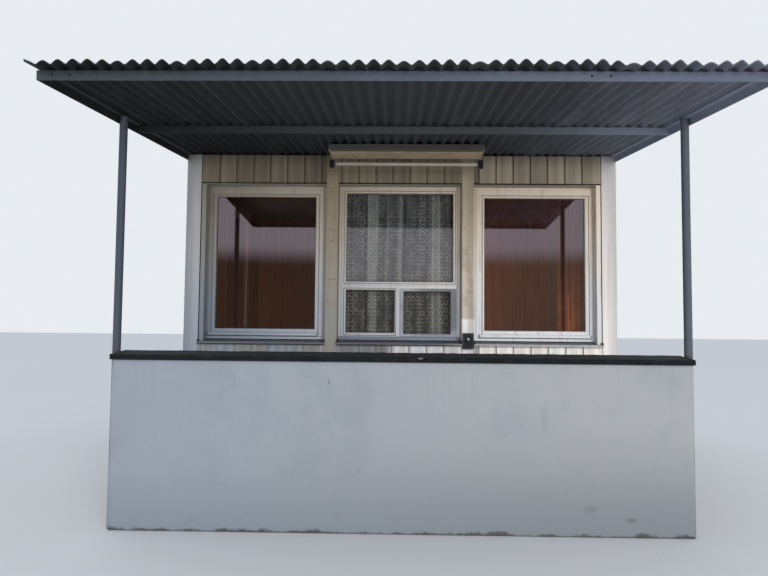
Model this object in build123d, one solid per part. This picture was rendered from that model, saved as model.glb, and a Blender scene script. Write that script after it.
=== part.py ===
from build123d import *
from math import cos, radians, sin, tan
import os

os.makedirs("parts", exist_ok=True)

# Security guard booth under one corrugated lean-to roof that runs on as a canopy.
# Millimetres. +X right seen from the front, +Y to the back, +Z up.
# The origin is at ground level, under the middle of the booth.

# Booth body
booth_width = 3700
booth_depth = 2400
base_height = 200
base_setback = 15
floor_thickness = 25
wall_thickness = 160
front_wall_top = 2740
cladding_setback = 8
ceiling_drop = 190
ceiling_thickness = 20

# Posts in the walls
corner_post = 125
mullion_width = 101
middle_bay = 1070
mullion_setback = 3

# Ribbed cladding
groove_pitch = 147.5
groove_width = 16
groove_floor = 9
groove_depth = 10
first_groove_left = 9
first_groove_middle = 29
first_groove_right = 42
first_groove_side = 60

# Front windows
window_bottom = 1105
strip_over_windows = 252
window_recess = 100
frame_depth = 60
outer_stile = 72
inner_stile = 102
side_bottom_rail = 127
side_top_rail = 97
jamb_width = 43
jamb_setback = 4
jamb_quirk_width = 6
jamb_quirk_depth = 30
bead_width = 12
pane_thickness = 24
pane_setback = 20
rebate = 10
pane_clearance = 0.3

# Middle window and its small opening sash
middle_stile = 68
middle_top_rail = 61
middle_bottom_rail = 100
transom_rise = 472
transom_width = 73
lower_pane_right = -40
sash_left = 6
sash_right = 497
sash_rise = 72
sash_head_lap = 15
sash_left_stile = 30
sash_right_stile = 52
sash_bottom_rail = 20
sash_top_rail = 25
sash_overlap = 12
sash_foot = 8
sash_proud = 14
sash_body = 40
sash_gap = 2
sash_pane_thickness = 5
sash_pane_setback = 6
sash_rebate = 8

# Sills under the front windows
sill_back_rise = 32
sill_front_rise = 13
sill_overhang = 30
sill_lip = 4
sill_lip_drop = 5
sill_end_gap = 0.3

# Window and door in the side walls
side_window_width = 1005
side_window_centre = 0
door_width = 860
door_height = 2020
door_rear_offset = 570
door_frame_width = 50
door_leaf_thickness = 44
door_gap = 4
door_frame_setback = 18
door_setback = 15
door_stop = 12
door_seat = 0.3
hinge_heights = [200, 960, 1720]
hinge_length = 100
hinge_width = 32
hinge_plate = 2.5
hinge_barrel = 12
handle_height = 1050
handle_length = 125
handle_diameter = 20
handle_stem = 14
handle_plate_width = 42
handle_plate_height = 220
handle_plate_thickness = 8
handle_standoff = 45
handle_inset = 60

# Roof and canopy
roof_pitch = 4.79
canopy_reach = 2344
eave_overhang = 90
rear_overhang = 120
wave_pitch = 73.8
wave_height = 27
wave_flank = 45
side_inset = 5
sheet_edge_drop = 8
edge_wave_count = 11
sheet_wave_count = 9
sheet_thickness = 2
sheet_seat = 0.2
lap_lift = 3.4
angle_size = 50
angle_thickness = 5
purlin_reach = 1110
booth_purlin_offset = 1200

# Canopy posts and the low wall between them
post_diameter = 51
post_gap = 0.3
post_side_gap = 3.3
post_reach = 1388
low_wall_thickness = 200
wall_end_inset = 15
low_wall_height = 1047
coping_end_overhang = 6
coping_depth = 235
coping_front = 33
coping_back = 50
coping_joint = 6
coping_joint_x = -20

# Strip light under the roof, in front of the middle window
lamp_reach = 500
lamp_depth = 230
lamp_width = 1234
lamp_centre = 44
lamp_bottom = 2640
lamp_flange = 16
lamp_return = 14
lamp_shadow = 8
tube_length = 1162
tube_diameter = 26
tube_drop = 74
holder_length = 33
holder_height = 62
holder_depth = 40
bracket_width = 25
bracket_thickness = 3

# Bell on the right mullion
bell_bottom = 1076
bell_top = 1211
bell_width = 94
bell_depth = 34
button_diameter = 24
button_depth = 8
button_height = 1160
bell_corner = 6

# Curtains
lace_thickness = 36
lace_gap = 45
lace_margin = 15
lace_foot = 45
drape_width = 300
drape_thickness = 50
drape_foot = 35
rail_diameter = 16
rail_rise = 12

# How far a cut runs past the face it opens
overcut = 1

# Places worked out from the driving sizes
half_width = booth_width / 2
half_depth = booth_depth / 2
front = -half_depth
rear = half_depth
clad_front = front + cladding_setback
inner_front = front + wall_thickness
inner_rear = rear - wall_thickness
inner_side = half_width - wall_thickness
post_inner = half_width - corner_post
mullion_inner = middle_bay / 2
mullion_outer = mullion_inner + mullion_width
window_head = front_wall_top - strip_over_windows
side_pane_bottom = window_bottom + side_bottom_rail
side_pane_top = window_head - side_top_rail
lower_pane_bottom = window_bottom + middle_bottom_rail
lower_pane_top = window_bottom + transom_rise
upper_pane_bottom = lower_pane_top + transom_width
upper_pane_top = window_head - middle_top_rail
sash_bottom = window_bottom + sash_rise
sash_top = lower_pane_top + sash_head_lap
frame_front = front + window_recess
frame_back = frame_front + frame_depth
pane_front = frame_front + pane_setback
floor_top = base_height + floor_thickness
roof_slope = tan(radians(roof_pitch))
fascia_front = front - canopy_reach
post_y = front - post_reach
post_x = half_width - angle_thickness - post_diameter / 2 - post_side_gap
low_wall_half = post_x - wall_end_inset
coping_half = low_wall_half + coping_end_overhang
door_centre = rear - door_rear_offset - door_frame_width - door_width / 2
wave_count = 2 * round((half_width - side_inset) / wave_pitch)


def roof_height(y):
    """Underside of the sheet troughs at a given depth."""
    return front_wall_top + (y - front) * roof_slope


def block(x0, x1, y0, y1, z0, z1):
    """Rectangular solid between two corners."""
    centre = ((x0 + x1) / 2, (y0 + y1) / 2, (z0 + z1) / 2)
    return Pos(*centre) * Box(x1 - x0, y1 - y0, z1 - z0)


def prism_yz(points, x0, x1):
    """Outline in depth and height, drawn out along X."""
    outline = Polyline([(0, y, z) for y, z in points], close=True)
    return Pos(x0, 0, 0) * extrude(make_face(outline), amount=x1 - x0, dir=(1, 0, 0))


def above_roof(drop=0):
    """Space over the roof plane, used to cut walls and posts to its slope."""
    low = fascia_front - booth_depth
    high = rear + booth_depth
    points = [
        (low, roof_height(low) - drop),
        (high, roof_height(high) - drop),
        (high, roof_height(high) + booth_depth),
        (low, roof_height(low) + booth_depth),
    ]
    return prism_yz(points, -booth_width, booth_width)


def save(shape, name):
    export_step(shape, f"parts/{name}.step")


def grooved_outline(length, thickness, first):
    """Plan of a clad wall: outer face at y = 0 with narrow grooves, inner face at y = thickness."""
    points = [(0, 0)]
    place = first
    while place < length - groove_width:
        if place > groove_width:
            points += [
                (place - groove_width / 2, 0),
                (place - groove_floor / 2, groove_depth),
                (place + groove_floor / 2, groove_depth),
                (place + groove_width / 2, 0),
            ]
        place += groove_pitch
    points += [(length, 0), (length, thickness), (0, thickness)]
    return make_face(Polyline(points, close=True))


def clad_wall(length, thickness, first, z0, z1):
    """Clad wall standing on z0, its outer face towards -Y."""
    return Pos(0, 0, z0) * extrude(grooved_outline(length, thickness, first), amount=z1 - z0)


def bevelled_opening(x0, x1, z0, z1, y0, y1):
    """Cutter for a pane opening with a glazing bead bevelled back all round its front."""
    centre = Pos((x0 + x1) / 2, y0, (z0 + z1) / 2)
    turned = Rot(X=90)
    wide = Rectangle(x1 - x0 + 2 * bead_width, z1 - z0 + 2 * bead_width)
    bevel = extrude(centre * turned * wide, amount=-bead_width, taper=45)
    return bevel + block(x0, x1, y0, y1 + overcut, z0, z1)


def rebate_cut(x0, x1, z0, z1, y0, thickness, depth):
    """Groove in a frame that the edge of a pane stands in."""
    return block(x0 - depth, x1 + depth, y0, y0 + thickness, z0 - depth, z1 + depth)


def pane(x0, x1, z0, z1, y0, thickness=pane_thickness, depth=rebate):
    """Pane with its edges in the rebate."""
    edge = depth - pane_clearance
    inset = pane_clearance / 2
    return block(x0 - edge, x1 + edge, y0 + inset, y0 + thickness - inset, z0 - edge, z1 + edge)


def window_frame(x0, x1, z0, z1, y0, y1, panes):
    """Window frame with its pane openings, each bevelled in front and rebated."""
    frame = block(x0, x1, y0, y1, z0, z1)
    for px0, px1, pz0, pz1 in panes:
        frame -= bevelled_opening(px0, px1, pz0, pz1, y0, y1)
        frame -= rebate_cut(px0, px1, pz0, pz1, y0 + pane_setback, pane_thickness, rebate)
    return frame


def angle_bar(x0, x1, y_front, z_top):
    """Steel angle along X: one leg hangs in front, the other lies level on top."""
    upright = block(x0, x1, y_front, y_front + angle_thickness, z_top - angle_size, z_top)
    flat = block(x0, x1, y_front, y_front + angle_size, z_top - angle_thickness, z_top)
    return upright + flat


# Base slab and floor
base_half_width = half_width - base_setback
base_half_depth = half_depth - base_setback
base_slab = block(-base_half_width, base_half_width, -base_half_depth, base_half_depth, 0, base_height)
save(base_slab, "base_slab")
floor = block(-inner_side, inner_side, inner_front, inner_rear, base_height, floor_top)
save(floor, "floor")

# Corner posts and mullion posts, cut to the roof
roof_space = above_roof()
tall = front_wall_top + booth_depth * roof_slope + wall_thickness
corners = []
for side in (-1, 1):
    for y0, y1 in ((front, front + corner_post), (rear - corner_post, rear)):
        x0, x1 = sorted((side * half_width, side * post_inner))
        corners.append(block(x0, x1, y0, y1, base_height, tall) - roof_space)
save(Compound(corners), "corner_posts")

mullions = []
for side in (-1, 1):
    x0, x1 = sorted((side * mullion_inner, side * mullion_outer))
    post = block(x0, x1, front + mullion_setback, inner_front, base_height, tall)
    mullions.append(post - roof_space)
save(Compound(mullions), "mullion_posts")

# Front wall: a strip over and a strip under each window
bays = [
    (-post_inner, -mullion_outer, first_groove_left),
    (-mullion_inner, mullion_inner, first_groove_middle),
    (mullion_outer, post_inner, first_groove_right),
]
panel = wall_thickness - cladding_setback
upper_strips = []
lower_strips = []
for x0, x1, first in bays:
    upper = clad_wall(x1 - x0, panel, first, window_head, tall)
    upper_strips.append(Pos(x0, clad_front, 0) * upper - roof_space)
    lower = clad_wall(x1 - x0, panel, first, base_height, window_bottom)
    lower_strips.append(Pos(x0, clad_front, 0) * lower)
save(Compound(upper_strips), "front_wall_upper")
save(Compound(lower_strips), "front_wall_lower")

# Side and rear walls between the corner posts
side_length = booth_depth - 2 * corner_post
corner_notches = [
    block(-post_inner, post_inner, front, inner_front, 0, tall),
    block(-post_inner, post_inner, inner_rear, rear, 0, tall),
]
window_y0 = side_window_centre - side_window_width / 2
window_y1 = side_window_centre + side_window_width / 2
left_wall = Rot(Z=-90) * clad_wall(side_length, panel, first_groove_side, base_height, tall)
left_wall = Pos(-half_width + cladding_setback, rear - corner_post, 0) * left_wall
left_wall -= roof_space
for notch in corner_notches:
    left_wall -= notch
left_wall -= block(-half_width, -inner_side + overcut, window_y0, window_y1, window_bottom, window_head)
save(left_wall, "left_wall")

rear_wall = clad_wall(booth_width - 2 * corner_post, panel, first_groove_side, base_height, tall)
rear_wall = Pos(post_inner, rear - cladding_setback, 0) * (Rot(Z=180) * rear_wall) - roof_space
save(rear_wall, "rear_wall")

door_y0 = door_centre - door_width / 2 - door_frame_width
door_y1 = door_centre + door_width / 2 + door_frame_width
door_head = base_height + door_height + door_frame_width
right_wall = Rot(Z=90) * clad_wall(side_length, panel, first_groove_side, base_height, tall)
right_wall = Pos(half_width - cladding_setback, front + corner_post, 0) * right_wall - roof_space
for notch in corner_notches:
    right_wall -= notch
wall_x0 = inner_side - overcut
wall_x1 = half_width
save(right_wall & block(wall_x0, wall_x1, front, door_y0, 0, tall), "right_wall_front")
save(right_wall & block(wall_x0, wall_x1, door_y1, rear, 0, tall), "right_wall_rear")
save(right_wall & block(wall_x0, wall_x1, door_y0, door_y1, door_head, tall), "right_wall_over_door")

# Left and right front windows
side_pane_z = (side_pane_bottom, side_pane_top)
opening_outer = post_inner - jamb_width
left_pane = (-opening_outer + outer_stile, -mullion_outer - inner_stile, *side_pane_z)
right_pane = (mullion_outer + inner_stile, opening_outer - outer_stile, *side_pane_z)
for name, x0, x1, opening in (
    ("left", -opening_outer, -mullion_outer, left_pane),
    ("right", mullion_outer, opening_outer, right_pane),
):
    frame = window_frame(x0, x1, window_bottom, window_head, frame_front, frame_back, [opening])
    save(frame, f"{name}_window_frame")
    save(pane(*opening, pane_front), f"{name}_window_glass")

# Jambs that fill the reveal beside the corner posts, with a shadow gap against each post
jambs = []
for side in (-1, 1):
    x0, x1 = sorted((side * opening_outer, side * post_inner))
    jamb_front = front + jamb_setback
    jamb = block(x0, x1, jamb_front, inner_front, window_bottom, window_head)
    q0, q1 = sorted((side * (post_inner - jamb_quirk_width), side * (post_inner + overcut)))
    quirk_back = jamb_front + jamb_quirk_depth
    jambs.append(jamb - block(q0, q1, jamb_front - overcut, quirk_back, window_bottom - overcut, window_head + overcut))
save(Compound(jambs), "window_jambs")

# Middle window: one large pane over a fixed pane and a small opening sash
upper_pane = (-mullion_inner + middle_stile, mullion_inner - middle_stile, upper_pane_bottom, upper_pane_top)
lower_pane = (-mullion_inner + middle_stile, lower_pane_right, lower_pane_bottom, lower_pane_top)
middle_frame = window_frame(
    -mullion_inner, mullion_inner, window_bottom, window_head, frame_front, frame_back, [upper_pane, lower_pane]
)
hatch_x0 = sash_left + sash_overlap
hatch_x1 = mullion_inner - middle_stile
hatch_z0 = sash_bottom + sash_foot
hatch_z1 = lower_pane_top
middle_frame -= block(hatch_x0, hatch_x1, frame_front - overcut, frame_back + overcut, hatch_z0, hatch_z1)
save(middle_frame, "middle_window_frame")
save(Compound([pane(*upper_pane, pane_front), pane(*lower_pane, pane_front)]), "middle_window_glass")

# Service sash: a flange that laps over the frame and a tongue that fills its opening
sash_front = frame_front - sash_proud
sash_back = frame_front + sash_body
sash_flange = block(sash_left, sash_right, sash_front, frame_front, sash_bottom, sash_top)
sash_tongue = block(
    hatch_x0 + sash_gap, hatch_x1 - sash_gap, frame_front, sash_back, hatch_z0 + sash_gap, hatch_z1 - sash_gap
)
sash_pane = (
    sash_left + sash_left_stile,
    sash_right - sash_right_stile,
    sash_bottom + sash_bottom_rail,
    sash_top - sash_top_rail,
)
service_sash = sash_flange + sash_tongue
service_sash -= block(*sash_pane[:2], sash_front - overcut, sash_back + overcut, *sash_pane[2:])
service_sash -= rebate_cut(*sash_pane, sash_front + sash_pane_setback, sash_pane_thickness, sash_rebate)
save(service_sash, "service_sash")
sash_glass = pane(*sash_pane, sash_front + sash_pane_setback, sash_pane_thickness, sash_rebate)
save(sash_glass, "service_sash_glass")

# Sills: folded sheet that slopes out and ends in a lip
sill_front = front - sill_overhang
sill_points = [
    (frame_front, window_bottom),
    (frame_front, window_bottom + sill_back_rise),
    (sill_front, window_bottom + sill_front_rise),
    (sill_front, window_bottom - sill_lip_drop),
    (sill_front + sill_lip, window_bottom - sill_lip_drop),
    (sill_front + sill_lip, window_bottom),
]
sills = []
for x0, x1 in (
    (-post_inner, -mullion_outer),
    (-mullion_inner, mullion_inner),
    (mullion_outer, post_inner),
):
    sill = prism_yz(sill_points, x0 + sill_end_gap, x1 - sill_end_gap)
    for jamb in jambs:
        sill -= jamb
    sills.append(sill)

# Window in the left wall, the same make as the front ones
side_frame_z = (window_bottom, window_head)
side_opening = (
    window_y0 + outer_stile,
    window_y1 - outer_stile,
    side_pane_bottom,
    side_pane_top,
)
side_frame = window_frame(
    window_y0, window_y1, *side_frame_z, -half_width + window_recess, -half_width + window_recess + frame_depth,
    [side_opening],
)
quarter_turn = Rot(Z=-90)
save(quarter_turn * side_frame, "side_window_frame")
side_glass = pane(*side_opening, -half_width + window_recess + pane_setback)
save(quarter_turn * side_glass, "side_window_glass")
side_sill_points = [(y - front - half_width, z) for y, z in sill_points]
side_sill = prism_yz(side_sill_points, window_y0 + sill_end_gap, window_y1 - sill_end_gap)
sills.append(quarter_turn * side_sill)
save(Compound(sills), "window_sills")

# Door in the right wall
leaf_y0 = door_centre - door_width / 2
leaf_y1 = door_centre + door_width / 2
frame_x0 = inner_side
frame_x1 = half_width - door_frame_setback
door_frame = block(frame_x0, frame_x1, door_y0, door_y1, base_height, door_head)
leaf_x1 = frame_x1 - door_setback
leaf_x0 = leaf_x1 - door_leaf_thickness
stop_x = leaf_x0 - door_seat
leaf_top = door_head - door_frame_width
under = base_height - overcut
door_frame -= block(stop_x, frame_x1 + overcut, leaf_y0, leaf_y1, under, leaf_top)
door_frame -= block(
    frame_x0 - overcut, stop_x + overcut, leaf_y0 + door_stop, leaf_y1 - door_stop, under, leaf_top - door_stop
)
save(door_frame, "door_frame")
door_leaf = block(
    leaf_x0, leaf_x1, leaf_y0 + door_gap, leaf_y1 - door_gap, base_height + door_gap, leaf_top - door_gap
)
save(door_leaf, "door_leaf")

hinges = []
for height in hinge_heights:
    z0 = base_height + height
    z1 = z0 + hinge_length
    edge = leaf_y1 - door_gap
    plate = block(leaf_x1, leaf_x1 + hinge_plate, edge - hinge_width, edge, z0, z1)
    barrel = Pos(leaf_x1 + hinge_barrel / 2, edge - hinge_barrel / 2, (z0 + z1) / 2)
    hinges.append(plate + barrel * Cylinder(hinge_barrel / 2, hinge_length))
save(Compound(hinges), "door_hinges")

plate_y = leaf_y0 + handle_inset
plate_z = base_height + handle_height
handle = block(
    leaf_x1,
    leaf_x1 + handle_plate_thickness,
    plate_y - handle_plate_width / 2,
    plate_y + handle_plate_width / 2,
    plate_z - handle_plate_height * 2 / 3,
    plate_z + handle_plate_height / 3,
)
stem = Pos(leaf_x1 + handle_standoff / 2, plate_y, plate_z) * Rot(Y=90)
stem *= Cylinder(handle_stem / 2, handle_standoff)
grip_y0 = plate_y - handle_diameter
grip = Pos(leaf_x1 + handle_standoff, grip_y0 + handle_length / 2, plate_z) * Rot(X=90)
grip *= Cylinder(handle_diameter / 2, handle_length)
save(handle + stem + grip, "door_handle")

# Ceiling board
ceiling_bottom = roof_height(inner_front) - ceiling_drop
ceiling_top = ceiling_bottom + ceiling_thickness
ceiling = block(-inner_side, inner_side, inner_front, inner_rear, ceiling_bottom, ceiling_top)
save(ceiling, "ceiling")

# Steel of the canopy: fascia, side beams and purlins
fascia = angle_bar(-half_width, half_width, fascia_front, roof_height(fascia_front))
save(fascia, "canopy_fascia")

beam_start = fascia_front + angle_thickness
beams = []
for side in (-1, 1):
    leg = [
        (beam_start, roof_height(beam_start) - angle_size),
        (front, roof_height(front) - angle_size),
        (front, roof_height(front)),
        (beam_start, roof_height(beam_start)),
    ]
    shelf_start = fascia_front + angle_size
    shelf = [
        (shelf_start, roof_height(shelf_start) - angle_thickness),
        (front, roof_height(front) - angle_thickness),
        (front, roof_height(front)),
        (shelf_start, roof_height(shelf_start)),
    ]
    x0, x1 = sorted((side * half_width, side * (half_width - angle_thickness)))
    s0, s1 = sorted((side * half_width, side * (half_width - angle_size)))
    beams.append(prism_yz(leg, x0, x1) + prism_yz(shelf, s0, s1) - fascia)
save(Compound(beams), "canopy_side_beams")

purlin_y = front - purlin_reach
purlin = angle_bar(-half_width + angle_thickness, half_width - angle_thickness, purlin_y, roof_height(purlin_y))
for beam in beams:
    purlin -= beam
booth_purlin_y = front + booth_purlin_offset
booth_purlin = angle_bar(-inner_side, inner_side, booth_purlin_y, roof_height(booth_purlin_y))
save(Compound([purlin, booth_purlin]), "roof_purlins")

# Corrugated sheets, laid in two layers so that they lap over one crest
flank = radians(wave_flank)
crest_radius = (wave_pitch / 4 * tan(flank) - wave_height / 2) * cos(flank) / (1 - cos(flank))
first_crest_x = -wave_pitch * wave_count / 2
wave_middle = wave_height / 2 + sheet_thickness / 2 + sheet_seat


def wave_side(first, last, offset):
    """One face of a sheet from its first crest to its last, as arcs joined by straight flanks."""
    edges = []
    drop = sheet_edge_drop
    previous = None
    for half in range(2 * first, 2 * last + 1):
        crest = half % 2 == 0
        up = 1 if crest else -1
        radius = crest_radius + up * offset
        x = first_crest_x + half * wave_pitch / 2
        centre = wave_middle + up * (wave_height / 2 - crest_radius)
        start = (x - radius * sin(flank), centre + up * radius * cos(flank))
        top = (x, centre + up * radius)
        end = (x + radius * sin(flank), centre + up * radius * cos(flank))
        if previous:
            edges.append(Line(previous, start))
        elif first == 0:
            edges.append(Line((start[0] - drop, start[1] - drop * tan(flank)), start))
        edges.append(ThreePointArc(start, top, end))
        previous = end
    if last == wave_count:
        edges.append(Line(previous, (previous[0] + drop, previous[1] - drop * tan(flank))))
    return edges


def sheet(first, last, lift):
    """One corrugated sheet from the eave to the back."""
    upper = wave_side(first, last, sheet_thickness / 2)
    lower = wave_side(first, last, -sheet_thickness / 2)
    ends = [Line(upper[0] @ 0, lower[0] @ 0), Line(upper[-1] @ 1, lower[-1] @ 1)]
    profile = make_face(Wire(upper + lower + ends))
    eave_y = fascia_front - eave_overhang
    run = (rear + rear_overhang - eave_y) / cos(radians(roof_pitch))
    pitch = radians(roof_pitch)
    across = Plane(
        origin=(0, eave_y, roof_height(eave_y) + lift), x_dir=(1, 0, 0), z_dir=(0, -cos(pitch), -sin(pitch))
    )
    return extrude(across * profile, amount=-run)


# Sheets between the two edge ones are added in pairs, so that both edge sheets lie underneath
seams = [0, edge_wave_count, edge_wave_count + sheet_wave_count]
while seams[-1] + 2 * sheet_wave_count < wave_count:
    seams += [seams[-1] + sheet_wave_count, seams[-1] + 2 * sheet_wave_count]
seams.append(wave_count)
sheet_pairs = list(zip(seams[:-1], seams[1:]))
save(Compound([sheet(a, b, 0) for a, b in sheet_pairs[0::2]]), "roof_sheets_lower")
save(Compound([sheet(a, b, lap_lift) for a, b in sheet_pairs[1::2]]), "roof_sheets_upper")

# Round posts that stand on the ground, bedded in the ends of the low wall
posts = []
for side in (-1, 1):
    post = Pos(side * post_x, post_y, 0) * Cylinder(
        post_diameter / 2, front_wall_top, align=(Align.CENTER, Align.CENTER, Align.MIN)
    )
    posts.append(post - above_roof(angle_thickness))
save(Compound(posts), "canopy_posts")

# Low wall and its coping in two lengths
low_front = post_y - low_wall_thickness / 2
low_back = post_y + low_wall_thickness / 2
post_beds = [
    Pos(side * post_x, post_y, 0)
    * Cylinder(post_diameter / 2 + post_gap, front_wall_top, align=(Align.CENTER, Align.CENTER, Align.MIN))
    for side in (-1, 1)
]
low_wall = block(-low_wall_half, low_wall_half, low_front, low_back, 0, low_wall_height)
for bed in post_beds:
    low_wall -= bed
save(low_wall, "low_wall")

coping_y0 = post_y - coping_depth / 2
coping_y1 = post_y + coping_depth / 2
coping_points = [
    (coping_y0, low_wall_height),
    (coping_y1, low_wall_height),
    (coping_y1, low_wall_height + coping_back),
    (coping_y0, low_wall_height + coping_front),
]
copings = []
for x0, x1 in (
    (-coping_half, coping_joint_x - coping_joint / 2),
    (coping_joint_x + coping_joint / 2, coping_half),
):
    stone = prism_yz(coping_points, x0, x1)
    for bed in post_beds:
        stone -= bed
    copings.append(stone)
save(Compound(copings), "coping")

# Strip light: flat body hung under the roof, tube in two holders on end brackets
body_y0 = front - lamp_reach
body_y1 = body_y0 + lamp_depth
body_points = [
    (body_y0, lamp_bottom),
    (body_y1, lamp_bottom),
    (body_y1, roof_height(body_y1)),
    (body_y0, roof_height(body_y0)),
]
lamp_x0 = lamp_centre - lamp_width / 2
lamp_x1 = lamp_centre + lamp_width / 2
lamp_body = prism_yz(body_points, lamp_x0, lamp_x1)
for x0, x1 in ((lamp_x0, lamp_x0 + lamp_return), (lamp_x1 - lamp_return, lamp_x1)):
    lamp_body -= block(x0, x1, body_y0 - overcut, body_y1 + overcut, 0, lamp_bottom + lamp_flange)
lamp_body -= block(lamp_x0, lamp_x1, body_y0 - overcut, body_y0 + lamp_shadow, 0, lamp_bottom + lamp_flange)
save(lamp_body, "lamp_body")

tube_y = (body_y0 + body_y1) / 2
tube_height = lamp_bottom - tube_drop
tube = Pos(lamp_centre, tube_y, tube_height) * Rot(Y=90) * Cylinder(tube_diameter / 2, tube_length)
save(tube, "lamp_tube")
holders = []
brackets = []
for side in (-1, 1):
    inner = lamp_centre + side * tube_length / 2
    outer = inner + side * holder_length
    x0, x1 = sorted((inner, outer))
    y0 = tube_y - holder_depth / 2
    y1 = tube_y + holder_depth / 2
    holders.append(block(x0, x1, y0, y1, tube_height - holder_height / 2, tube_height + holder_height / 2))
    b0, b1 = sorted((outer, outer + side * bracket_thickness))
    y0 = tube_y - bracket_width / 2
    y1 = tube_y + bracket_width / 2
    brackets.append(block(b0, b1, y0, y1, tube_height - holder_height / 2, lamp_bottom + lamp_flange))
save(Compound(holders), "lamp_holders")
save(Compound(brackets), "lamp_brackets")

# Bell box with its round button
bell_x = (mullion_inner + mullion_outer) / 2
bell_back = front + mullion_setback
bell_box = block(
    bell_x - bell_width / 2, bell_x + bell_width / 2, bell_back - bell_depth, bell_back, bell_bottom, bell_top
)
bell_box = fillet(bell_box.edges().filter_by(Axis.Y), bell_corner)
save(bell_box, "bell_box")
button = Pos(bell_x, bell_back - bell_depth - button_depth / 2, button_height) * Rot(X=90)
save(button * Cylinder(button_diameter / 2, button_depth), "bell_button")

# Curtains behind the front windows, and the rail that carries them
lace_y = inner_front + lace_gap
rail_height = window_head + rail_rise
rail = Pos(0, lace_y, rail_height) * Rot(Y=90) * Cylinder(rail_diameter / 2, 2 * inner_side)
save(rail, "curtain_rail")
lace_half = mullion_inner - lace_margin
lace_top = rail_height - rail_diameter / 2
lace = block(
    -lace_half, lace_half, lace_y - lace_thickness / 2, lace_y + lace_thickness / 2, window_bottom + lace_foot, lace_top
)
save(lace, "lace_curtain")
drape_x1 = opening_outer
drape = block(
    drape_x1 - drape_width,
    drape_x1,
    lace_y - drape_thickness / 2,
    lace_y + drape_thickness / 2,
    window_bottom + drape_foot,
    lace_top,
)
save(drape, "window_drape")
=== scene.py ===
import math

import bpy
from mathutils import Matrix, Vector, noise


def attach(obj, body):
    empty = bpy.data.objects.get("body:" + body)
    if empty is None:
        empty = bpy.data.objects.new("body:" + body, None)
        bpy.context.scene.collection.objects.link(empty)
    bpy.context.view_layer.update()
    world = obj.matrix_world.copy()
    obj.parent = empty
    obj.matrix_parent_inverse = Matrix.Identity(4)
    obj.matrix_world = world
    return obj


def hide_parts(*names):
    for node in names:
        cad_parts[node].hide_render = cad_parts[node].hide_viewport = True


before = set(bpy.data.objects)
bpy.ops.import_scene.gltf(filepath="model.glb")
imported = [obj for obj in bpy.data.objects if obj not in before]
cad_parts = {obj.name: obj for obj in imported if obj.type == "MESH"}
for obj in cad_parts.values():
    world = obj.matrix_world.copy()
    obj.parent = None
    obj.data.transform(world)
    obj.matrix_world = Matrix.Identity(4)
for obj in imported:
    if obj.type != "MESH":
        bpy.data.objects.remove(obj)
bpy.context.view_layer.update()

# The camera stands in front of the low wall at eye height and looks up a little,
# where the photograph was taken from.
lens_px = 640.0
photo_width_px = 768.0
sensor_mm = 36.0
camera_place = Vector((-0.0306, -6.6714, 1.2853))
camera_yaw = -0.0186
camera_pitch = 0.0555
camera_roll = 0.0094

forward = Vector((
    math.sin(camera_yaw) * math.cos(camera_pitch),
    math.cos(camera_yaw) * math.cos(camera_pitch),
    math.sin(camera_pitch),
))
level = Vector((math.cos(camera_yaw), -math.sin(camera_yaw), 0.0))
upward = level.cross(forward)
side_axis = level * math.cos(camera_roll) + upward * math.sin(camera_roll)
top_axis = upward * math.cos(camera_roll) - level * math.sin(camera_roll)
turn = Matrix((side_axis, top_axis, -forward)).transposed().to_4x4()

camera_data = bpy.data.cameras.new("camera")
camera_data.sensor_width = sensor_mm
camera_data.lens = sensor_mm * lens_px / photo_width_px
camera = bpy.data.objects.new("camera", camera_data)
camera.matrix_world = Matrix.Translation(camera_place) @ turn
bpy.context.collection.objects.link(camera)
bpy.context.scene.camera = camera
bpy.context.scene.view_settings.view_transform = "Standard"


# The floor of the studio is pale and plain. The light is a pale sky all round, two weak wide
# lights from the front and from above, and one soft lamp in front and to the right, where the
# booth is brighter. Colours are given as they look, from 0 to 255, and places in metres.
def srgb(red, green, blue):
    """A colour as it looks, turned to the shader's own scale."""
    parts = [value / 255 for value in (red, green, blue)]
    return (*(part / 12.92 if part <= 0.04045 else ((part + 0.055) / 1.055) ** 2.4
              for part in parts), 1.0)


class Value:
    """A value that changes from place to place, so that sums with it are written as sums."""

    def __init__(self, layers, socket):
        self.layers, self.socket = layers, socket

    def __add__(self, other):
        return self.layers.maths("ADD", self, other)

    def __sub__(self, other):
        return self.layers.maths("SUBTRACT", self, other)

    def __rsub__(self, other):
        return self.layers.maths("SUBTRACT", other, self)

    def __mul__(self, other):
        return self.layers.maths("MULTIPLY", self, other)

    def __truediv__(self, other):
        return self.layers.maths("DIVIDE", self, other)

    def __abs__(self):
        return self.layers.maths("ABSOLUTE", self)

    def fraction(self):
        return self.layers.maths("FRACT", self)

    def grade(self, low, high, start=0.0, end=1.0, kind="SMOOTHSTEP"):
        """From low to high it goes from start to end, and it stays there outside."""
        inputs = {"Value": self, "From Min": low, "From Max": high, "To Min": start, "To Max": end}
        return self.layers.value("ShaderNodeMapRange", inputs, interpolation_type=kind)


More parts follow.
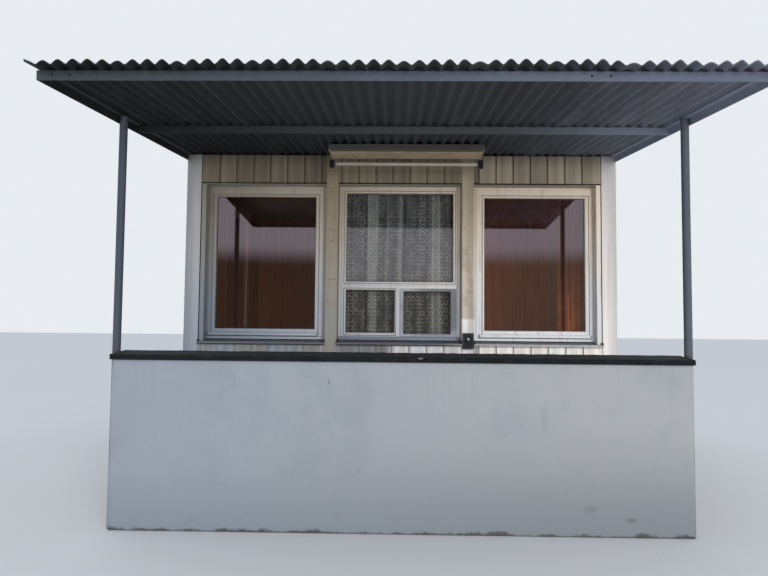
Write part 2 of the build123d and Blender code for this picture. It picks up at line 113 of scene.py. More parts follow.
class Layers:
    """Nodes set one over another, in a material or in the sky."""

    def __init__(self, tree):
        self.tree = tree

    def add(self, kind, inputs=None, **settings):
        """A node. Each of its inputs is a number, a colour or what comes out of another node."""
        node = self.tree.nodes.new(kind)
        for key, setting in settings.items():
            setattr(node, key, setting)
        for key, given in (inputs or {}).items():
            given = given.socket if isinstance(given, Value) else given
            if isinstance(given, bpy.types.NodeSocket):
                self.tree.links.new(given, node.inputs[key])
            else:
                node.inputs[key].default_value = given
        return node

    def value(self, kind, inputs=None, output=0, **settings):
        return Value(self, self.add(kind, inputs, **settings).outputs[output])

    def maths(self, kind, a, b=0.0, c=0.0):
        return self.value("ShaderNodeMath", {0: a, 1: b, 2: c}, operation=kind)

    def mixed(self, share, first, second, kind="MIX"):
        """The first tone turning to the second by a share."""
        first, second = (srgb(*tone) if isinstance(tone, tuple) and len(tone) == 3 else tone
                         for tone in (first, second))
        inputs = {0: share, 6: first, 7: second}
        return self.value("ShaderNodeMix", inputs, 2, data_type="RGBA", blend_type=kind)

    def parts(self, direction):
        """What a direction or a place is along X, Y and Z."""
        split = self.add("ShaderNodeSeparateXYZ", {0: direction})
        return [Value(self, output) for output in split.outputs]


class Finish(Layers):
    """One coat on a piece: its colour, roughness and relief are laid on in layers."""

    def __init__(self, name, roughness, metallic=0.0):
        self.material = bpy.data.materials.new(name)
        self.material.use_nodes = True
        super().__init__(self.material.node_tree)
        self.shader = self.tree.nodes["Principled BSDF"]
        self.shader.inputs["Roughness"].default_value = roughness
        self.shader.inputs["Metallic"].default_value = metallic
        self.place = self.value("ShaderNodeTexCoord", output="Object")
        self.x, self.y, self.z = self.parts(self.place)
        self.tone = None

    def facing(self):
        """The way that a face looks, along X, Y and Z."""
        return self.parts(self.add("ShaderNodeNewGeometry").outputs["Normal"])

    def stretched(self, stretch=(1.0, 1.0, 1.0), shift=(0.0, 0.0, 0.0)):
        inputs = {"Vector": self.place, "Location": shift, "Scale": stretch}
        return self.value("ShaderNodeMapping", inputs)

    def cloudy(self, scale, detail=4.0, roughness=0.55, **place):
        """Cloudy unevenness, so many to the metre."""
        inputs = {"Vector": self.stretched(**place), "Scale": scale, "Detail": detail,
                  "Roughness": roughness}
        return self.value("ShaderNodeTexNoise", inputs)

    def streaks(self, across, down):
        """Streaks, so many to the metre across and down."""
        return self.cloudy(1.0, 5.0, 0.6, stretch=(across, across, down))

    def grains(self, scale):
        """Grains or specks, so many to the metre."""
        inputs = {"Vector": self.stretched(), "Scale": scale}
        return self.value("ShaderNodeTexVoronoi", inputs, "Distance")

    def chance(self, place):
        """A value of its own for each whole step of a place."""
        inputs = {"W": self.maths("FLOOR", place)}
        return self.value("ShaderNodeTexWhiteNoise", inputs, "Value", noise_dimensions="1D")

    def link(self, value, name):
        self.tree.links.new(value.socket, self.shader.inputs[name])

    def lay(self, tone, share=1.0, kind="MIX"):
        """Lays a tone over those that are there, by a share."""
        self.tone = tone if self.tone is None else self.mixed(share, self.tone, tone, kind)
        self.link(self.tone, "Base Color")

    def mottled(self, scale, first, second, limits=None, detail=4.0, **place):
        """The first layer: one tone with clouds of another."""
        cloud = self.cloudy(scale, detail, **place)
        self.lay(self.mixed(cloud.grade(*limits) if limits else cloud, first, second))
        return self

    def relief(self, height, depth):
        """Relief of a height from 0 to 1, that many metres deep."""
        inputs = {"Height": height, "Distance": depth, "Strength": 1.0}
        self.link(self.value("ShaderNodeBump", inputs), "Normal")

    def open_up(self, share, tint=(1.0, 1.0, 1.0, 1.0)):
        """Lets the light through, the more the smaller the share."""
        clear = self.value("ShaderNodeBsdfTransparent", {"Color": tint})
        both = self.value("ShaderNodeMixShader", {0: share, 1: clear, 2: self.shader.outputs[0]})
        self.tree.links.new(both.socket, self.tree.nodes["Material Output"].inputs["Surface"])

    def onto(self, piece):
        piece.data.materials.clear()
        piece.data.materials.append(self.material)

    def coat(self, *names, ease=None, segments=2):
        """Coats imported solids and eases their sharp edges."""
        for name in names:
            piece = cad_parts[name]
            self.onto(piece)
            if ease:
                bevel = piece.modifiers.new("eased_edges", "BEVEL")
                bevel.width, bevel.segments = ease, segments
                bevel.limit_method, bevel.angle_limit = "ANGLE", math.radians(40)
                bevel.harden_normals = True


floor_half = 60.0
floor_level = -0.002
floor_data = bpy.data.meshes.new("studio_floor")
floor_corners = [(-floor_half, -floor_half), (floor_half, -floor_half),
                 (floor_half, floor_half), (-floor_half, floor_half)]
floor_data.from_pydata([(x, y, floor_level) for x, y in floor_corners], [], [(0, 1, 2, 3)])
studio_floor = bpy.data.objects.new("studio_floor", floor_data)
bpy.context.collection.objects.link(studio_floor)
Finish("studio_floor", 0.9).mottled(0.3, (214, 216, 219), (209, 211, 214)).onto(studio_floor)

sky_colour, sky_strength = srgb(224, 230, 240), 0.82
backdrop_colour = srgb(232, 236, 241)
world = bpy.data.worlds.new("studio")
bpy.context.scene.world = world
world.use_nodes = True
world.node_tree.nodes.clear()
sky = Layers(world.node_tree)
rays = sky.add("ShaderNodeLightPath").outputs
seen = sky.maths("MAXIMUM", rays["Is Camera Ray"], rays["Is Glossy Ray"])
seen = sky.maths("MAXIMUM", seen, rays["Is Transmission Ray"])
# The panes mirror a dark ground below the backdrop, paler to the right.
way_x, _, way_z = sky.parts(sky.add("ShaderNodeTexCoord").outputs["Generated"])
higher_aside = abs(way_x).grade(0.09, 0.12, 0.0, 0.042, kind="LINEAR")
mirrored_ground = sky.mixed(way_x.grade(0.1, 0.16, kind="LINEAR"), (84, 76, 64), (150, 130, 108))
mirrored = sky.mixed((way_z - higher_aside).grade(0.045, 0.08), mirrored_ground, backdrop_colour)
shown = sky.mixed(rays["Is Glossy Ray"], backdrop_colour, mirrored)
lighting = sky.value("ShaderNodeBackground", {0: sky_colour, 1: sky_strength})
backdrop = sky.value("ShaderNodeBackground", {0: shown, 1: 1.0})
either = sky.value("ShaderNodeMixShader", {0: seen, 1: lighting, 2: backdrop})
sky.add("ShaderNodeOutputWorld", {0: either})


def lamp(name, kind, direction, power, place=(0.0, 0.0, 0.0), **settings):
    """A soft lamp that shines in one direction."""
    light = bpy.data.lights.new(name, kind)
    light.energy = power
    for key, setting in settings.items():
        setattr(light, key, setting)
    holder = bpy.data.objects.new(name, light)
    holder.location = place
    holder.rotation_mode = "QUATERNION"
    holder.rotation_quaternion = Vector(direction).to_track_quat("-Z", "Y")
    holder.visible_glossy = False
    bpy.context.collection.objects.link(holder)
    return holder


lamp("front_lamp", "SUN", (0.06, 0.95, -0.3), 0.42, angle=math.radians(70.0))
lamp("top_lamp", "SUN", (0.35, -0.25, -0.9), 0.5, angle=math.radians(60.0))
side_place, side_aim = Vector((3.6, -13.0, 3.2)), Vector((0.8, -1.2, 1.7))
side_lamp = lamp("side_lamp", "AREA", side_aim - side_place, 800.0, side_place,
                 shape="DISK", size=5.0, color=(1.0, 0.955, 0.9))
side_lamp.visible_camera = False

# Base slab: plain concrete cast in place under the booth, grey, its edges eased, with splashes
# of earth along its foot.
slab = Finish("base_concrete", 0.9).mottled(5.0, (92, 89, 82), (128, 126, 120))
slab.lay((88, 78, 64), slab.z.grade(0.0, 0.12, 0.6, 0.0))
slab.relief(slab.cloudy(60.0), 0.002)
slab.coat("base_slab", ease=0.006)

# Floor: planed boards nailed side by side across the booth, worn to a grey brown,
# with a fine dark gap between them.
board_width = 0.12
board_gap_share = 0.03
boards = Finish("floor_boards", 0.7)
board_place = boards.y / board_width
board_grain = boards.cloudy(14.0, 6.0, 0.6, stretch=(0.6, 8.0, 1.0))
board_line = abs(board_place.fraction() - 0.5).grade(0.5 - board_gap_share, 0.5)
boards.lay(boards.mixed(boards.chance(board_place), (118, 96, 72), (96, 78, 60)))
boards.lay((74, 60, 47), board_grain.grade(0.35, 0.7))
boards.lay((24, 20, 16), board_line)
boards.relief(board_grain - board_line, 0.002)
boards.coat("floor")

# Walls: profiled sheet cladding in pans, each pan a little crowned and set beside a narrow
# groove and a flat strip, nailed to the frame behind. Over the windows, under the roof, the
# paint is beige and darker as painted shade. Inside, the walls are lined with brown board,
# painted lighter and warmer to the right as painted light.
pan_pitch = 0.1475
groove_half = 0.006
groove_margin = 0.016
step_strip = 0.02
strip_rise = 0.0007
pan_edge = 0.002
pan_rise = 0.0022
pan_crown = 0.0018
pan_steps = 6
clad_y = -1.192
clad_x = 1.842
booth_front = -1.2
post_inner_x = 1.725
post_inner_y = 1.075
mullion_inner_x = 0.535
mullion_outer_x = 0.636
base_top = 0.2
opening_bottom = 1.105
opening_top = 2.488
above_roof = 9.0
roof_fall = math.radians(4.79)
head_gap = 0.013


def under_roof(y):
    """Height of the roof plane over a depth of the booth."""
    return 2.74 + (y - booth_front) * math.tan(roof_fall)


def piece_from(name, points, faces, finish, smooth=False):
    """A new piece of the booth from its points and faces, with its finish."""
    data = bpy.data.meshes.new(name)
    data.from_pydata([tuple(point) for point in points], [], faces)
    data.validate()
    data.update()
    piece = bpy.data.objects.new(name, data)
    bpy.context.collection.objects.link(piece)
    finish.onto(piece)
    for face in data.polygons:
        face.use_smooth = smooth
    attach(piece, "root")
    return piece


def add_pan(points, faces, place, run, out, start, end, low, tops, strip):
    """One pan, along run and proud along out, from low up to its two tops. A flat strip of
    that width lies before it, or after it if less than nought."""
    first, width = len(points), end - start
    section = [(0.0, strip_rise if strip > 0 else 0.0), (pan_edge, pan_rise)]
    for step in range(1, pan_steps):
        share = step / pan_steps
        crown = pan_crown * math.sin(math.pi * share)
        section.append((pan_edge + (width - 2 * pan_edge) * share, pan_rise + crown))
    section += [(width - pan_edge, pan_rise), (width, strip_rise if strip < 0 else 0.0)]
    if strip > 0:
        section = [(-strip, 0.0), (-strip, strip_rise)] + section
    if strip < 0:
        section += [(width - strip, strip_rise), (width - strip, 0.0)]
    for level_start, level_end in ((low, low), tops):
        for along, proud in section:
            spot = place + run * (start + along) + out * proud
            spot.z = level_start + (level_end - level_start) * along / width
            points.append(spot)
    count = len(section)
    for a in range(first, first + count - 1):
        faces.append((a, a + 1, a + count + 1, a + count))
    faces.append(tuple(reversed(range(first, first + count))))
    faces.append(tuple(range(first + count, first + 2 * count)))


def clad_pans(name, place, run, out, length, first_groove, bottom, top, finish,
              opening=None, strip=0.0):
    """All the pans of one wall, cut round its opening."""
    points, faces = [], []
    place = Vector(place)
    before, after = (0.0, step_strip) if strip < 0 else (step_strip, 0.0)
    grooves = [first_groove + pan_pitch * step for step in range(30)]
    marks = [-groove_half - before]
    marks += [mark for mark in grooves if groove_margin < mark < length - groove_margin]
    marks.append(length + groove_half + after)
    for left, right in zip(marks[:-1], marks[1:]):
        start = max(left + groove_half + before, pan_edge)
        end = min(right - groove_half - after, length - pan_edge)
        if end - start < 0.02:
            continue
        edges = {edge for edge in (opening or ())[:2] if start < edge < end}
        cuts = sorted({start, end} | edges)
        for a, b in zip(cuts[:-1], cuts[1:]):
            if b - a < 0.01:
                continue
            spans = [(bottom, None)]
            if opening and a >= opening[0] - 1e-6 and b <= opening[1] + 1e-6:
                spans = [(bottom, opening[2])] if opening[2] > bottom else []
                spans.append((opening[3], None))
            whole = a == start > before and b == end < length - after
            for low, high in spans:
                tops = [min(top, under_roof((place + run * edge).y) - 0.002) if high is None
                        else high for edge in (a, b)]
                add_pan(points, faces, place, run, out, a, b, low, tops, strip if whole else 0.0)
    return piece_from(name, points, faces, finish)


def cladding_coat(name, axis, phase, tones, earth=0.5, roof_dust=0.4, dark=1.0, strip_shade_share=None,
                  mirrored_pans=False, shade=0.0, lined=False, gap_top=None, dim_left=None):
    """Paint on the cladding: each pan has its own tint, with streaks running down it, and painted
    shade across its pans and strips, in its grooves and in its gaps.
    """
    coat = Finish(name, 0.55)
    light_tone, other_tone, streak_tone = tones
    pan_place = ((coat.x if axis == "X" else coat.y) - phase) / pan_pitch
    coat.lay(coat.mixed(coat.chance(pan_place).grade(0.25, 0.9), light_tone, other_tone))
    streaks = coat.streaks(34.0, 1.3)
    coat.lay(streak_tone, streaks.grade(0.46, 0.75) * 0.55)
    coat.lay(streak_tone, coat.cloudy(4.0, 5.0, 0.6).grade(0.5, 0.8) * 0.35)
    splash = coat.z + coat.cloudy(9.0) * 0.22
    coat.lay((112, 101, 82), splash.grade(0.28, 0.62, earth, 0.0))
    coat.lay((66, 60, 50), coat.z.grade(2.62, 2.76, 0.0, roof_dust))
    speckled = coat.cloudy(3.0, shift=(7.0, 3.0, 1.0)).grade(0.56, 0.66)
    coat.lay((104, 72, 48), coat.grains(26.0).grade(0.02, 0.06, 0.5, 0.0) * speckled)
    # Painted shade: each pan darker across its middle and its flat strip darker, as the profile
    # shades them, and a painted shadow under the sill lip by the share shade.
    if strip_shade_share:
        across_pan = pan_place.fraction()
        if mirrored_pans:
            across_pan = 1.0 - across_pan
        strip_end = (groove_half + step_strip) / pan_pitch
        crown_shade = abs(across_pan - (0.5 + 0.5 * strip_end)).grade(0.1, 0.42, 0.86, 1.08)
        strip_shading = across_pan.grade(strip_end - 0.005, strip_end + 0.005, strip_shade_share, 1.0)
        coat.lay(crown_shade * strip_shading, 1.0, "MULTIPLY")
        coat.lay((38, 37, 37), coat.z.grade(1.082, 1.094, 0.0, shade))
    # Painted shade: the backing, seen in the grooves between the pans, darkened by this share.
    if dark < 1.0:
        coat.lay((dark, dark, dark, 1.0), 1.0, "MULTIPLY")
    # Painted shade in the gap above the window heads.
    if gap_top:
        coat.lay((22, 19, 16), coat.z.grade(gap_top, gap_top + 0.003, 0.94, 0.0))
    if dim_left:
        coat.lay(coat.x.grade(-0.14, -0.02, dim_left, 1.0), 1.0, "MULTIPLY")
    if lined:
        way = coat.facing()
        facing_x, facing_y = way[0] * coat.x, way[1] * coat.y
        long_wall = abs(coat.y).grade(1.016, 1.02)
        facing_in = coat.maths("MULTIPLY_ADD", long_wall, facing_y - facing_x, facing_x)
        # The lining is painted lighter and warmer to the right as painted light.
        lining = coat.mixed(coat.x.grade(-1.0, -0.75), (150, 124, 106), (92, 94, 98))
        lining = coat.mixed(coat.x.grade(0.75, 1.0), lining, (246, 194, 166))
        lining = coat.mixed(streaks.grade(0.4, 0.75) * 0.5, lining, (110, 82, 66))
        coat.lay(lining, facing_in.grade(-0.9, -0.6, 1.0, 0.0))
    coat.link(streaks.grade(0.3, 0.8, 0.48, 0.72), "Roughness")
    coat.relief(coat.cloudy(90.0, 3.0), 0.0006)
    return coat


# The front bays' tones carry painted light: below the windows the left bay is bluish painted shade
# and the right one near white as painted light; over the windows they are beige painted shade,
# lighter to the right.
low_tones = {
    "left": ((147, 157, 168), (145, 146, 142), (114, 116, 114)),
    "middle": ((232, 234, 240), (226, 224, 222), (180, 178, 172)),
    "right": ((254, 251, 245), (251, 244, 233), (212, 204, 191)),
}
high_tones = {
    "left": ((145, 133, 112), (133, 121, 102), (101, 92, 76)),
    "middle": ((154, 141, 117), (141, 129, 108), (106, 96, 78)),
    "right": ((182, 169, 147), (167, 154, 134), (127, 116, 100)),
}
side_tones = ((186, 184, 176), (176, 172, 160), (132, 124, 108))
across, inward = Vector((1, 0, 0)), Vector((0, 1, 0))
bays = {
    "left": (-post_inner_x, -mullion_outer_x, 0.009),
    "middle": (-mullion_inner_x, mullion_inner_x, 0.029),
    "right": (mullion_outer_x, post_inner_x, 0.042),
}
for bay, (x0, x1, groove) in bays.items():
    on_right = bay == "right"
    strip = -step_strip if on_right else step_strip
    low_coat = cladding_coat(
        f"cladding_low_{bay}", "X", x0 + groove, low_tones[bay], earth=0.4, roof_dust=0.0,
        strip_shade_share=0.86 if on_right else 0.76, mirrored_pans=on_right,
        shade=0.2 if on_right else 0.0, dim_left=0.32 if bay == "middle" else None)
    high_coat = cladding_coat(
        f"cladding_high_{bay}", "X", x0 + groove, high_tones[bay], earth=0.0,
        strip_shade_share=0.96 if on_right else 0.82, mirrored_pans=on_right)
    for part, bottom, top, coat in (("under", base_top, opening_bottom - 0.006, low_coat),
                                    ("over", opening_top + head_gap, above_roof, high_coat)):
        clad_pans(f"pans_{part}_{bay}_window", (x0, clad_y, 0), across, -inward, x1 - x0, groove,
                  bottom, top, coat, strip=strip)
cladding_coat("cladding_backing_low", "X", 0.0, low_tones["middle"], earth=0.4, roof_dust=0.0,
              dark=0.5, lined=True).coat("front_wall_lower")
cladding_coat("cladding_backing_high", "X", 0.0, high_tones["middle"], earth=0.0, dark=0.58,
              gap_top=opening_top + head_gap + 0.002).coat("front_wall_upper")

side_groove = 0.06
side_length = 2 * post_inner_y
side_opening = (post_inner_y - 0.5025, post_inner_y + 0.5025, opening_bottom, opening_top)
door_opening = (post_inner_y - 0.33, post_inner_y + 0.63, base_top, 2.27)
for label, x, way, opening in (("left", -clad_x, -1, side_opening),
                               ("right", clad_x, 1, door_opening)):
    coat = cladding_coat(f"cladding_{label}", "Y", -1.015 * way, side_tones)
    clad_pans(f"pans_{label}_wall", (x, -post_inner_y * way, 0), inward * way, across * way,
              side_length, side_groove, base_top, above_roof, coat, opening)
clad_pans("pans_rear_wall", (post_inner_x, -clad_y, 0), -across, inward, 2 * post_inner_x,
          side_groove, base_top, above_roof, cladding_coat("cladding_rear", "X", 1.665, side_tones))
cladding_coat("cladding_backing_sides", "Y", 0.0, side_tones, dark=0.7, lined=True).coat(
    "left_wall", "right_wall_front", "right_wall_rear", "right_wall_over_door", "rear_wall")

# Corner posts: square timber cased in white painted sheet, full height, with a dark gap
# beside each window jamb, painted darker as shade. The left post is painted bluer and darker as
# shade and the right one paler as painted light, and the outer edge of each front is painted
# darker as shade.
post = Finish("post_white", 0.5)
# Painted light: the left post bluer and darker, the right one paler, the lower part more so.
post_right = post.x.grade(-1.0, 1.0)
post_low = post.mixed(post_right, (152, 160, 173), (250, 243, 239))
post_high = post.mixed(post_right, (186, 183, 180), (206, 201, 197))
post.lay(post.mixed(post.z.grade(0.9, 2.7), post_low, post_high))
post.lay((146, 143, 138), post.streaks(26.0, 0.9).grade(0.48, 0.8, 0.0, 0.5))
post.lay((112, 101, 82), (post.z + post.cloudy(9.0) * 0.2).grade(0.26, 0.6, 0.6, 0.0))
post.lay((92, 88, 84), post.z.grade(2.66, 2.74, 0.0, 0.35))
# Painted shade: darker towards the outer edge of each post's front.
outer_edge_shade = abs(post.x).grade(1.735, 1.845, 0.0, 0.5) * post.y.grade(-1.19, -1.15, 1.0, 0.0)
post.lay(post.mixed(post_right, (108, 112, 122), (150, 148, 150)), outer_edge_shade)
# Painted shade on the post's side in the gap by the jamb.
jamb_gap_shade = abs(post.x).grade(1.7256, 1.7262, 0.94, 0.0)
post.lay((24, 23, 23), jamb_gap_shade * post.y.grade(-1.164, -1.16, 1.0, 0.0))
post.relief(post.cloudy(70.0), 0.0008)
post.coat("corner_posts", ease=0.004)

# Mullion posts: boards painted cream between the windows, with a few nails that have rusted
# through. The right one is painted paler as painted light. Below the bell the right one has been
# painted white again.
mullion = Finish("mullion_cream", 0.55)
mullion_streaks = mullion.streaks(40.0, 1.2)
right_half = mullion.x.grade(0.1, 0.2)
# Painted light: the right mullion paler.
lit_right_cream = mullion.mixed(mullion.z.grade(1.5, 2.3), (234, 222, 206), (210, 196, 170))
mullion.lay(mullion.mixed(mullion.z.grade(1.2, 2.6), (150, 148, 141), (163, 147, 121)))
mullion.lay(lit_right_cream, right_half * 0.6)
mullion.lay((250, 251, 249), right_half * mullion.z.grade(1.322, 1.338, 1.0, 0.0))
mullion.lay((122, 110, 92), mullion_streaks.grade(0.46, 0.78, 0.0, 0.5))
mullion.lay((92, 80, 64), mullion.z.grade(2.5, 2.72, 0.0, 0.5))
mullion.lay((134, 124, 106), mullion.x.grade(0.56, 0.6, 0.0, 0.35))
blush = mullion.cloudy(6.0, 4.0, 0.6, shift=(3.0, 8.0, 1.0))
mullion.lay((150, 118, 98), blush.grade(0.56, 0.68, 0.0, 0.35))
rusty_cracks = [(-0.5775, 2.0865, 0.03), (-0.5796, 1.6603, 0.045), (-0.586, 1.991, 0.02),
                (-0.571, 2.1995, 0.016)]
for x, z, half in rusty_cracks:
    over = abs(mullion.x - x).grade(half * 0.6, half, 1.0, 0.0)
    wander = (mullion.cloudy(30.0) - 0.5) * 0.012
    level_gap = abs(mullion.z - (wander + z))
    mullion.lay((70, 54, 44), over * level_gap.grade(0.001, 0.0045, 0.75, 0.0))
mullion.relief(mullion_streaks, 0.001)
mullion.coat("mullion_posts", ease=0.003)


def skinned(name, skins, finish, caps=2, looped=False, flip=False, smooth=False):
    """A piece of one or more skins, each laid over closed rings of points, ring after ring."""
    points, faces = [], []
    for rings in skins:
        first, count = len(points), len(rings[0])
        points += [spot for ring in rings for spot in ring]
        starts = [first + count * number for number in range(len(rings))]
        for a, b in zip(starts, starts[1:] + starts[:1] if looped else starts[1:]):
            for step in range(count):
                after = (step + 1) % count
                quad = (a + step, a + after, b + after, b + step)
                faces.append((quad[0], quad[3], quad[2], quad[1]) if flip else quad)
        for start, turned_over in ((starts[0], not flip), (starts[-1], flip))[:caps]:
            cap = range(start, start + count)
            faces.append(tuple(reversed(cap) if turned_over else cap))
    return piece_from(name, points, faces, finish, smooth)


def turned(name, places, profile, finish, segments=24):
    """Round pieces, each turned about an axis from a place. The profile gives the radius and
    the distance along the axis."""
    skins = []
    for centre, axis in places:
        axis = Vector(axis).normalized()
        side = axis.orthogonal().normalized()
        other = axis.cross(side)
        angles = [2 * math.pi * step / segments for step in range(segments)]
        skins.append([[Vector(centre) + axis * distance
                       + (side * math.cos(angle) + other * math.sin(angle)) * radius
                       for angle in angles] for radius, distance in profile])
    piece = skinned(name, skins, finish, smooth=True)
    for face in piece.data.polygons:
        face.use_smooth = len(face.vertices) == 4
    return piece


to_front = (0, -1, 0)
mullion_face = -1.197
nail_spots = [(-0.590, 1.83), (-0.566, 2.03), (-0.604, 2.10), (-0.585, 2.42), (-0.585, 1.22),
              (0.585, 2.40), (0.602, 1.95), (0.570, 1.52), (0.560, 2.12)]
nail_rust = Finish("nail_rust", 0.8).mottled(400.0, (96, 58, 40), (60, 42, 34))
turned("mullion_nails", [((x, mullion_face, z), to_front) for x, z in nail_spots],
       [(0.0005, 0.0018), (0.0032, 0.0014), (0.0042, 0.0002), (0.0042, -0.001)],
       nail_rust, 10)

# Front windows: painted wooden frames, each with a sash face and a glazing bead planted round
# the pane. A groove runs between bead and sash, and putty seals the glass. The paint carries
# painted light and shade: bluer and darker to the left and low down, paler and warmer to the
# right and high up, and darker in the gaps by the jambs and mullions.
frame_y = -1.1
side_frame_x = -1.75
joint_width = 0.0045
window_paint = Finish("window_paint", 0.42)
window_streaks = window_paint.streaks(30.0, 3.0)
wx, wz = window_paint.x, window_paint.z
# Painted light: bluer and darker to the left and low down, paler and warmer to the right and high
# up.
from_left = wx.grade(-1.7, 1.2)
window_low = window_paint.mixed(from_left, (146, 157, 171), (228, 230, 233))
window_high = window_paint.mixed(from_left, (174, 165, 150), (234, 219, 198))
window_paint.lay(window_paint.mixed(wz.grade(1.25, 2.45), window_low, window_high))
window_paint.lay((128, 124, 116), window_streaks.grade(0.48, 0.8, 0.0, 0.45))
window_paint.lay((112, 98, 82), window_paint.cloudy(38.0, 6.0, 0.7).grade(0.68, 0.72, 0.0, 0.6))
in_front = window_paint.y.grade(-1.03, -1.0, 1.0, 0.0)
# Painted shade on the left stiles, by the jambs and beside the middle frame's right mullion.
frame_shade = wx.grade(-1.71, -0.85, 0.74, 1.02) * wx.grade(-1.684, -1.676, 0.87, 1.0)
frame_shade = frame_shade * wx.grade(1.676, 1.684, 1.0, 0.93)
frame_shade = frame_shade * abs(wx - 0.501).grade(0.003, 0.013, 0.62, 1.0)
window_paint.lay((frame_shade - 1.0) * in_front + 1.0, 1.0, "MULTIPLY")
# Painted shade: bluish along the foot of the middle frames under the bead, deepest at the groove.
foot_groove_shade = abs(wz - 1.166).grade(0.002, 0.006, 0.2, 0.0) + 1.0
rail_foot_shade = abs(wx).grade(0.528, 0.534, 0.8, 0.0) * in_front * wz.grade(1.172, 1.178, 1.0, 0.0)
window_paint.lay((112, 122, 140), rail_foot_shade * foot_groove_shade)
# Painted shade: a dark line at the edge of each jamb, in the gap by the post.
window_paint.lay((24, 23, 23), abs(wx).grade(1.7182, 1.7188, 0.0, 0.94) * in_front)
window_paint.link(window_streaks.grade(0.3, 0.8, 0.36, 0.6), "Roughness")
window_paint.relief(window_paint.cloudy(60.0), 0.0006)
window_paint.coat("left_window_frame", "right_window_frame", "middle_window_frame",
                  "side_window_frame", "window_jambs", ease=0.002)

putty = Finish("pane_putty", 0.8).mottled(80.0, (34, 32, 30), (62, 60, 56))
# The groove between bead and sash is painted dark as shade, bluer and darker low down, warmer high
# up.
bead_joint = Finish("bead_joint", 0.8)
bead_joint.lay(bead_joint.mixed(bead_joint.z.grade(1.22, 1.3), (92, 95, 102), (134, 128, 117)))
bead_joint.lay((118, 116, 112), bead_joint.cloudy(30.0))
set_in_wall = {
    "front": lambda x, depth, z: (x, depth, z),
    "left": lambda x, depth, z: (depth, -x, z),
    "right": lambda x, depth, z: (depth, x, z),
}


def grown(rectangle, margins, share=1.0):
    """A rectangle made wider on each side by a share of its margin."""
    x0, x1, z0, z1 = rectangle
    left, right, bottom, top = (margin * share for margin in margins)
    return (x0 - left, x1 + right, z0 - bottom, z1 + top)


def mitred_ring(name, inner, margins, section, finish, wall="front"):
    """Moulding mitred round a rectangle. The section gives shares of the margin, and depths."""
    rings = []
    for share, depth in section:
        x0, x1, z0, z1 = grown(inner, margins, share)
        rings.append([set_in_wall[wall](x, depth, z)
                      for x, z in ((x0, z0), (x1, z0), (x1, z1), (x0, z1))])
    return skinned(name, [rings], finish, caps=0)


def dressed_pane(name, pane, bead, sash, face=frame_y, wall="front"):
    """Putty, bead, joint and sash face round one pane. face is the depth of the frame's front."""
    around = [width + joint_width for width in bead]
    for part, inner, margins, section, finish in (
        ("putty", grown(pane, (-0.0035,) * 4), (0.006,) * 4,
         [(0.0, 0.0195), (0.1, 0.0165), (0.9, 0.0155), (1.0, 0.019)], putty),
        ("bead", pane, bead,
         [(0.0, 0.016), (0.02, 0.002), (0.14, -0.005), (0.5, -0.0085), (0.88, -0.0085),
          (0.97, -0.006), (1.0, 0.001)], window_paint),
        ("joint", grown(pane, bead), (joint_width,) * 4, [(0.0, -0.0012), (1.0, -0.0012)],
         bead_joint),
        ("sash", grown(pane, around), sash,
         [(0.0, 0.001), (0.03, -0.0075), (0.1, -0.0095), (0.88, -0.0095), (0.96, -0.0075),
          (1.0, 0.001)], window_paint),
    ):
        section = [(share, face + depth) for share, depth in section]
        mitred_ring(f"{name}_{part}", inner, margins, section, finish, wall=wall)


side_bead = (0.03, 0.03, 0.033, 0.017)
dressed_pane("left_window", (-1.61, -0.738, 1.232, 2.391), side_bead,
             (0.026, 0.034, 0.028, 0.058))
dressed_pane("right_window", (0.738, 1.61, 1.232, 2.391), (0.018, 0.03, 0.033, 0.017),
             (0.052, 0.026, 0.028, 0.058))
dressed_pane("side_window", (-0.4305, 0.4305, 1.232, 2.391), side_bead,
             (0.03, 0.03, 0.028, 0.058), side_frame_x, wall="left")
dressed_pane("middle_window_upper", (-0.467, 0.467, 1.65, 2.427), (0.016,) * 4,
             (0.018, 0.018, 0.012, 0.016))
dressed_pane("middle_window_lower", (-0.467, -0.04, 1.205, 1.577), (0.016, 0.008, 0.02, 0.012),
             (0.018, 0.006, 0.026, 0.01))


def bar(section, start, end):
    """The rings of a straight bar that runs from start to end along X."""
    return [[(x, y, z) for y, z in section] for x in (start, end)]


# Weather bars: a moulding planted across the foot of the left and right sashes to throw off the
# rain, painted with them, its open ends painted dark as shade, with a painted shadow strip under
# it.
bar_section = [(-1.1085, 1.2), (-1.1155, 1.1985), (-1.121, 1.19), (-1.122, 1.176),
               (-1.119, 1.1725), (-1.1085, 1.176)]
bar_end = 0.006
shade_top, shade_depth = 1.1665, -1.1101
for label, x0, x1 in (("left", -1.672, -0.709), ("right", 0.689, 1.655)):
    for part, start, end, finish in (("bar", x0 + bar_end, x1 - bar_end, window_paint),
                                     ("bar_start", x0, x0 + bar_end, putty),
                                     ("bar_end", x1 - bar_end, x1, putty)):
        skinned(f"{label}_weather_{part}", [bar(bar_section, start, end)], finish)
    mitred_ring(f"{label}_weather_shade", (x0, x1, shade_top, shade_top), (0.0, 0.0, 0.0, 0.0045),
                [(0.0, shade_depth), (1.0, shade_depth)], putty)

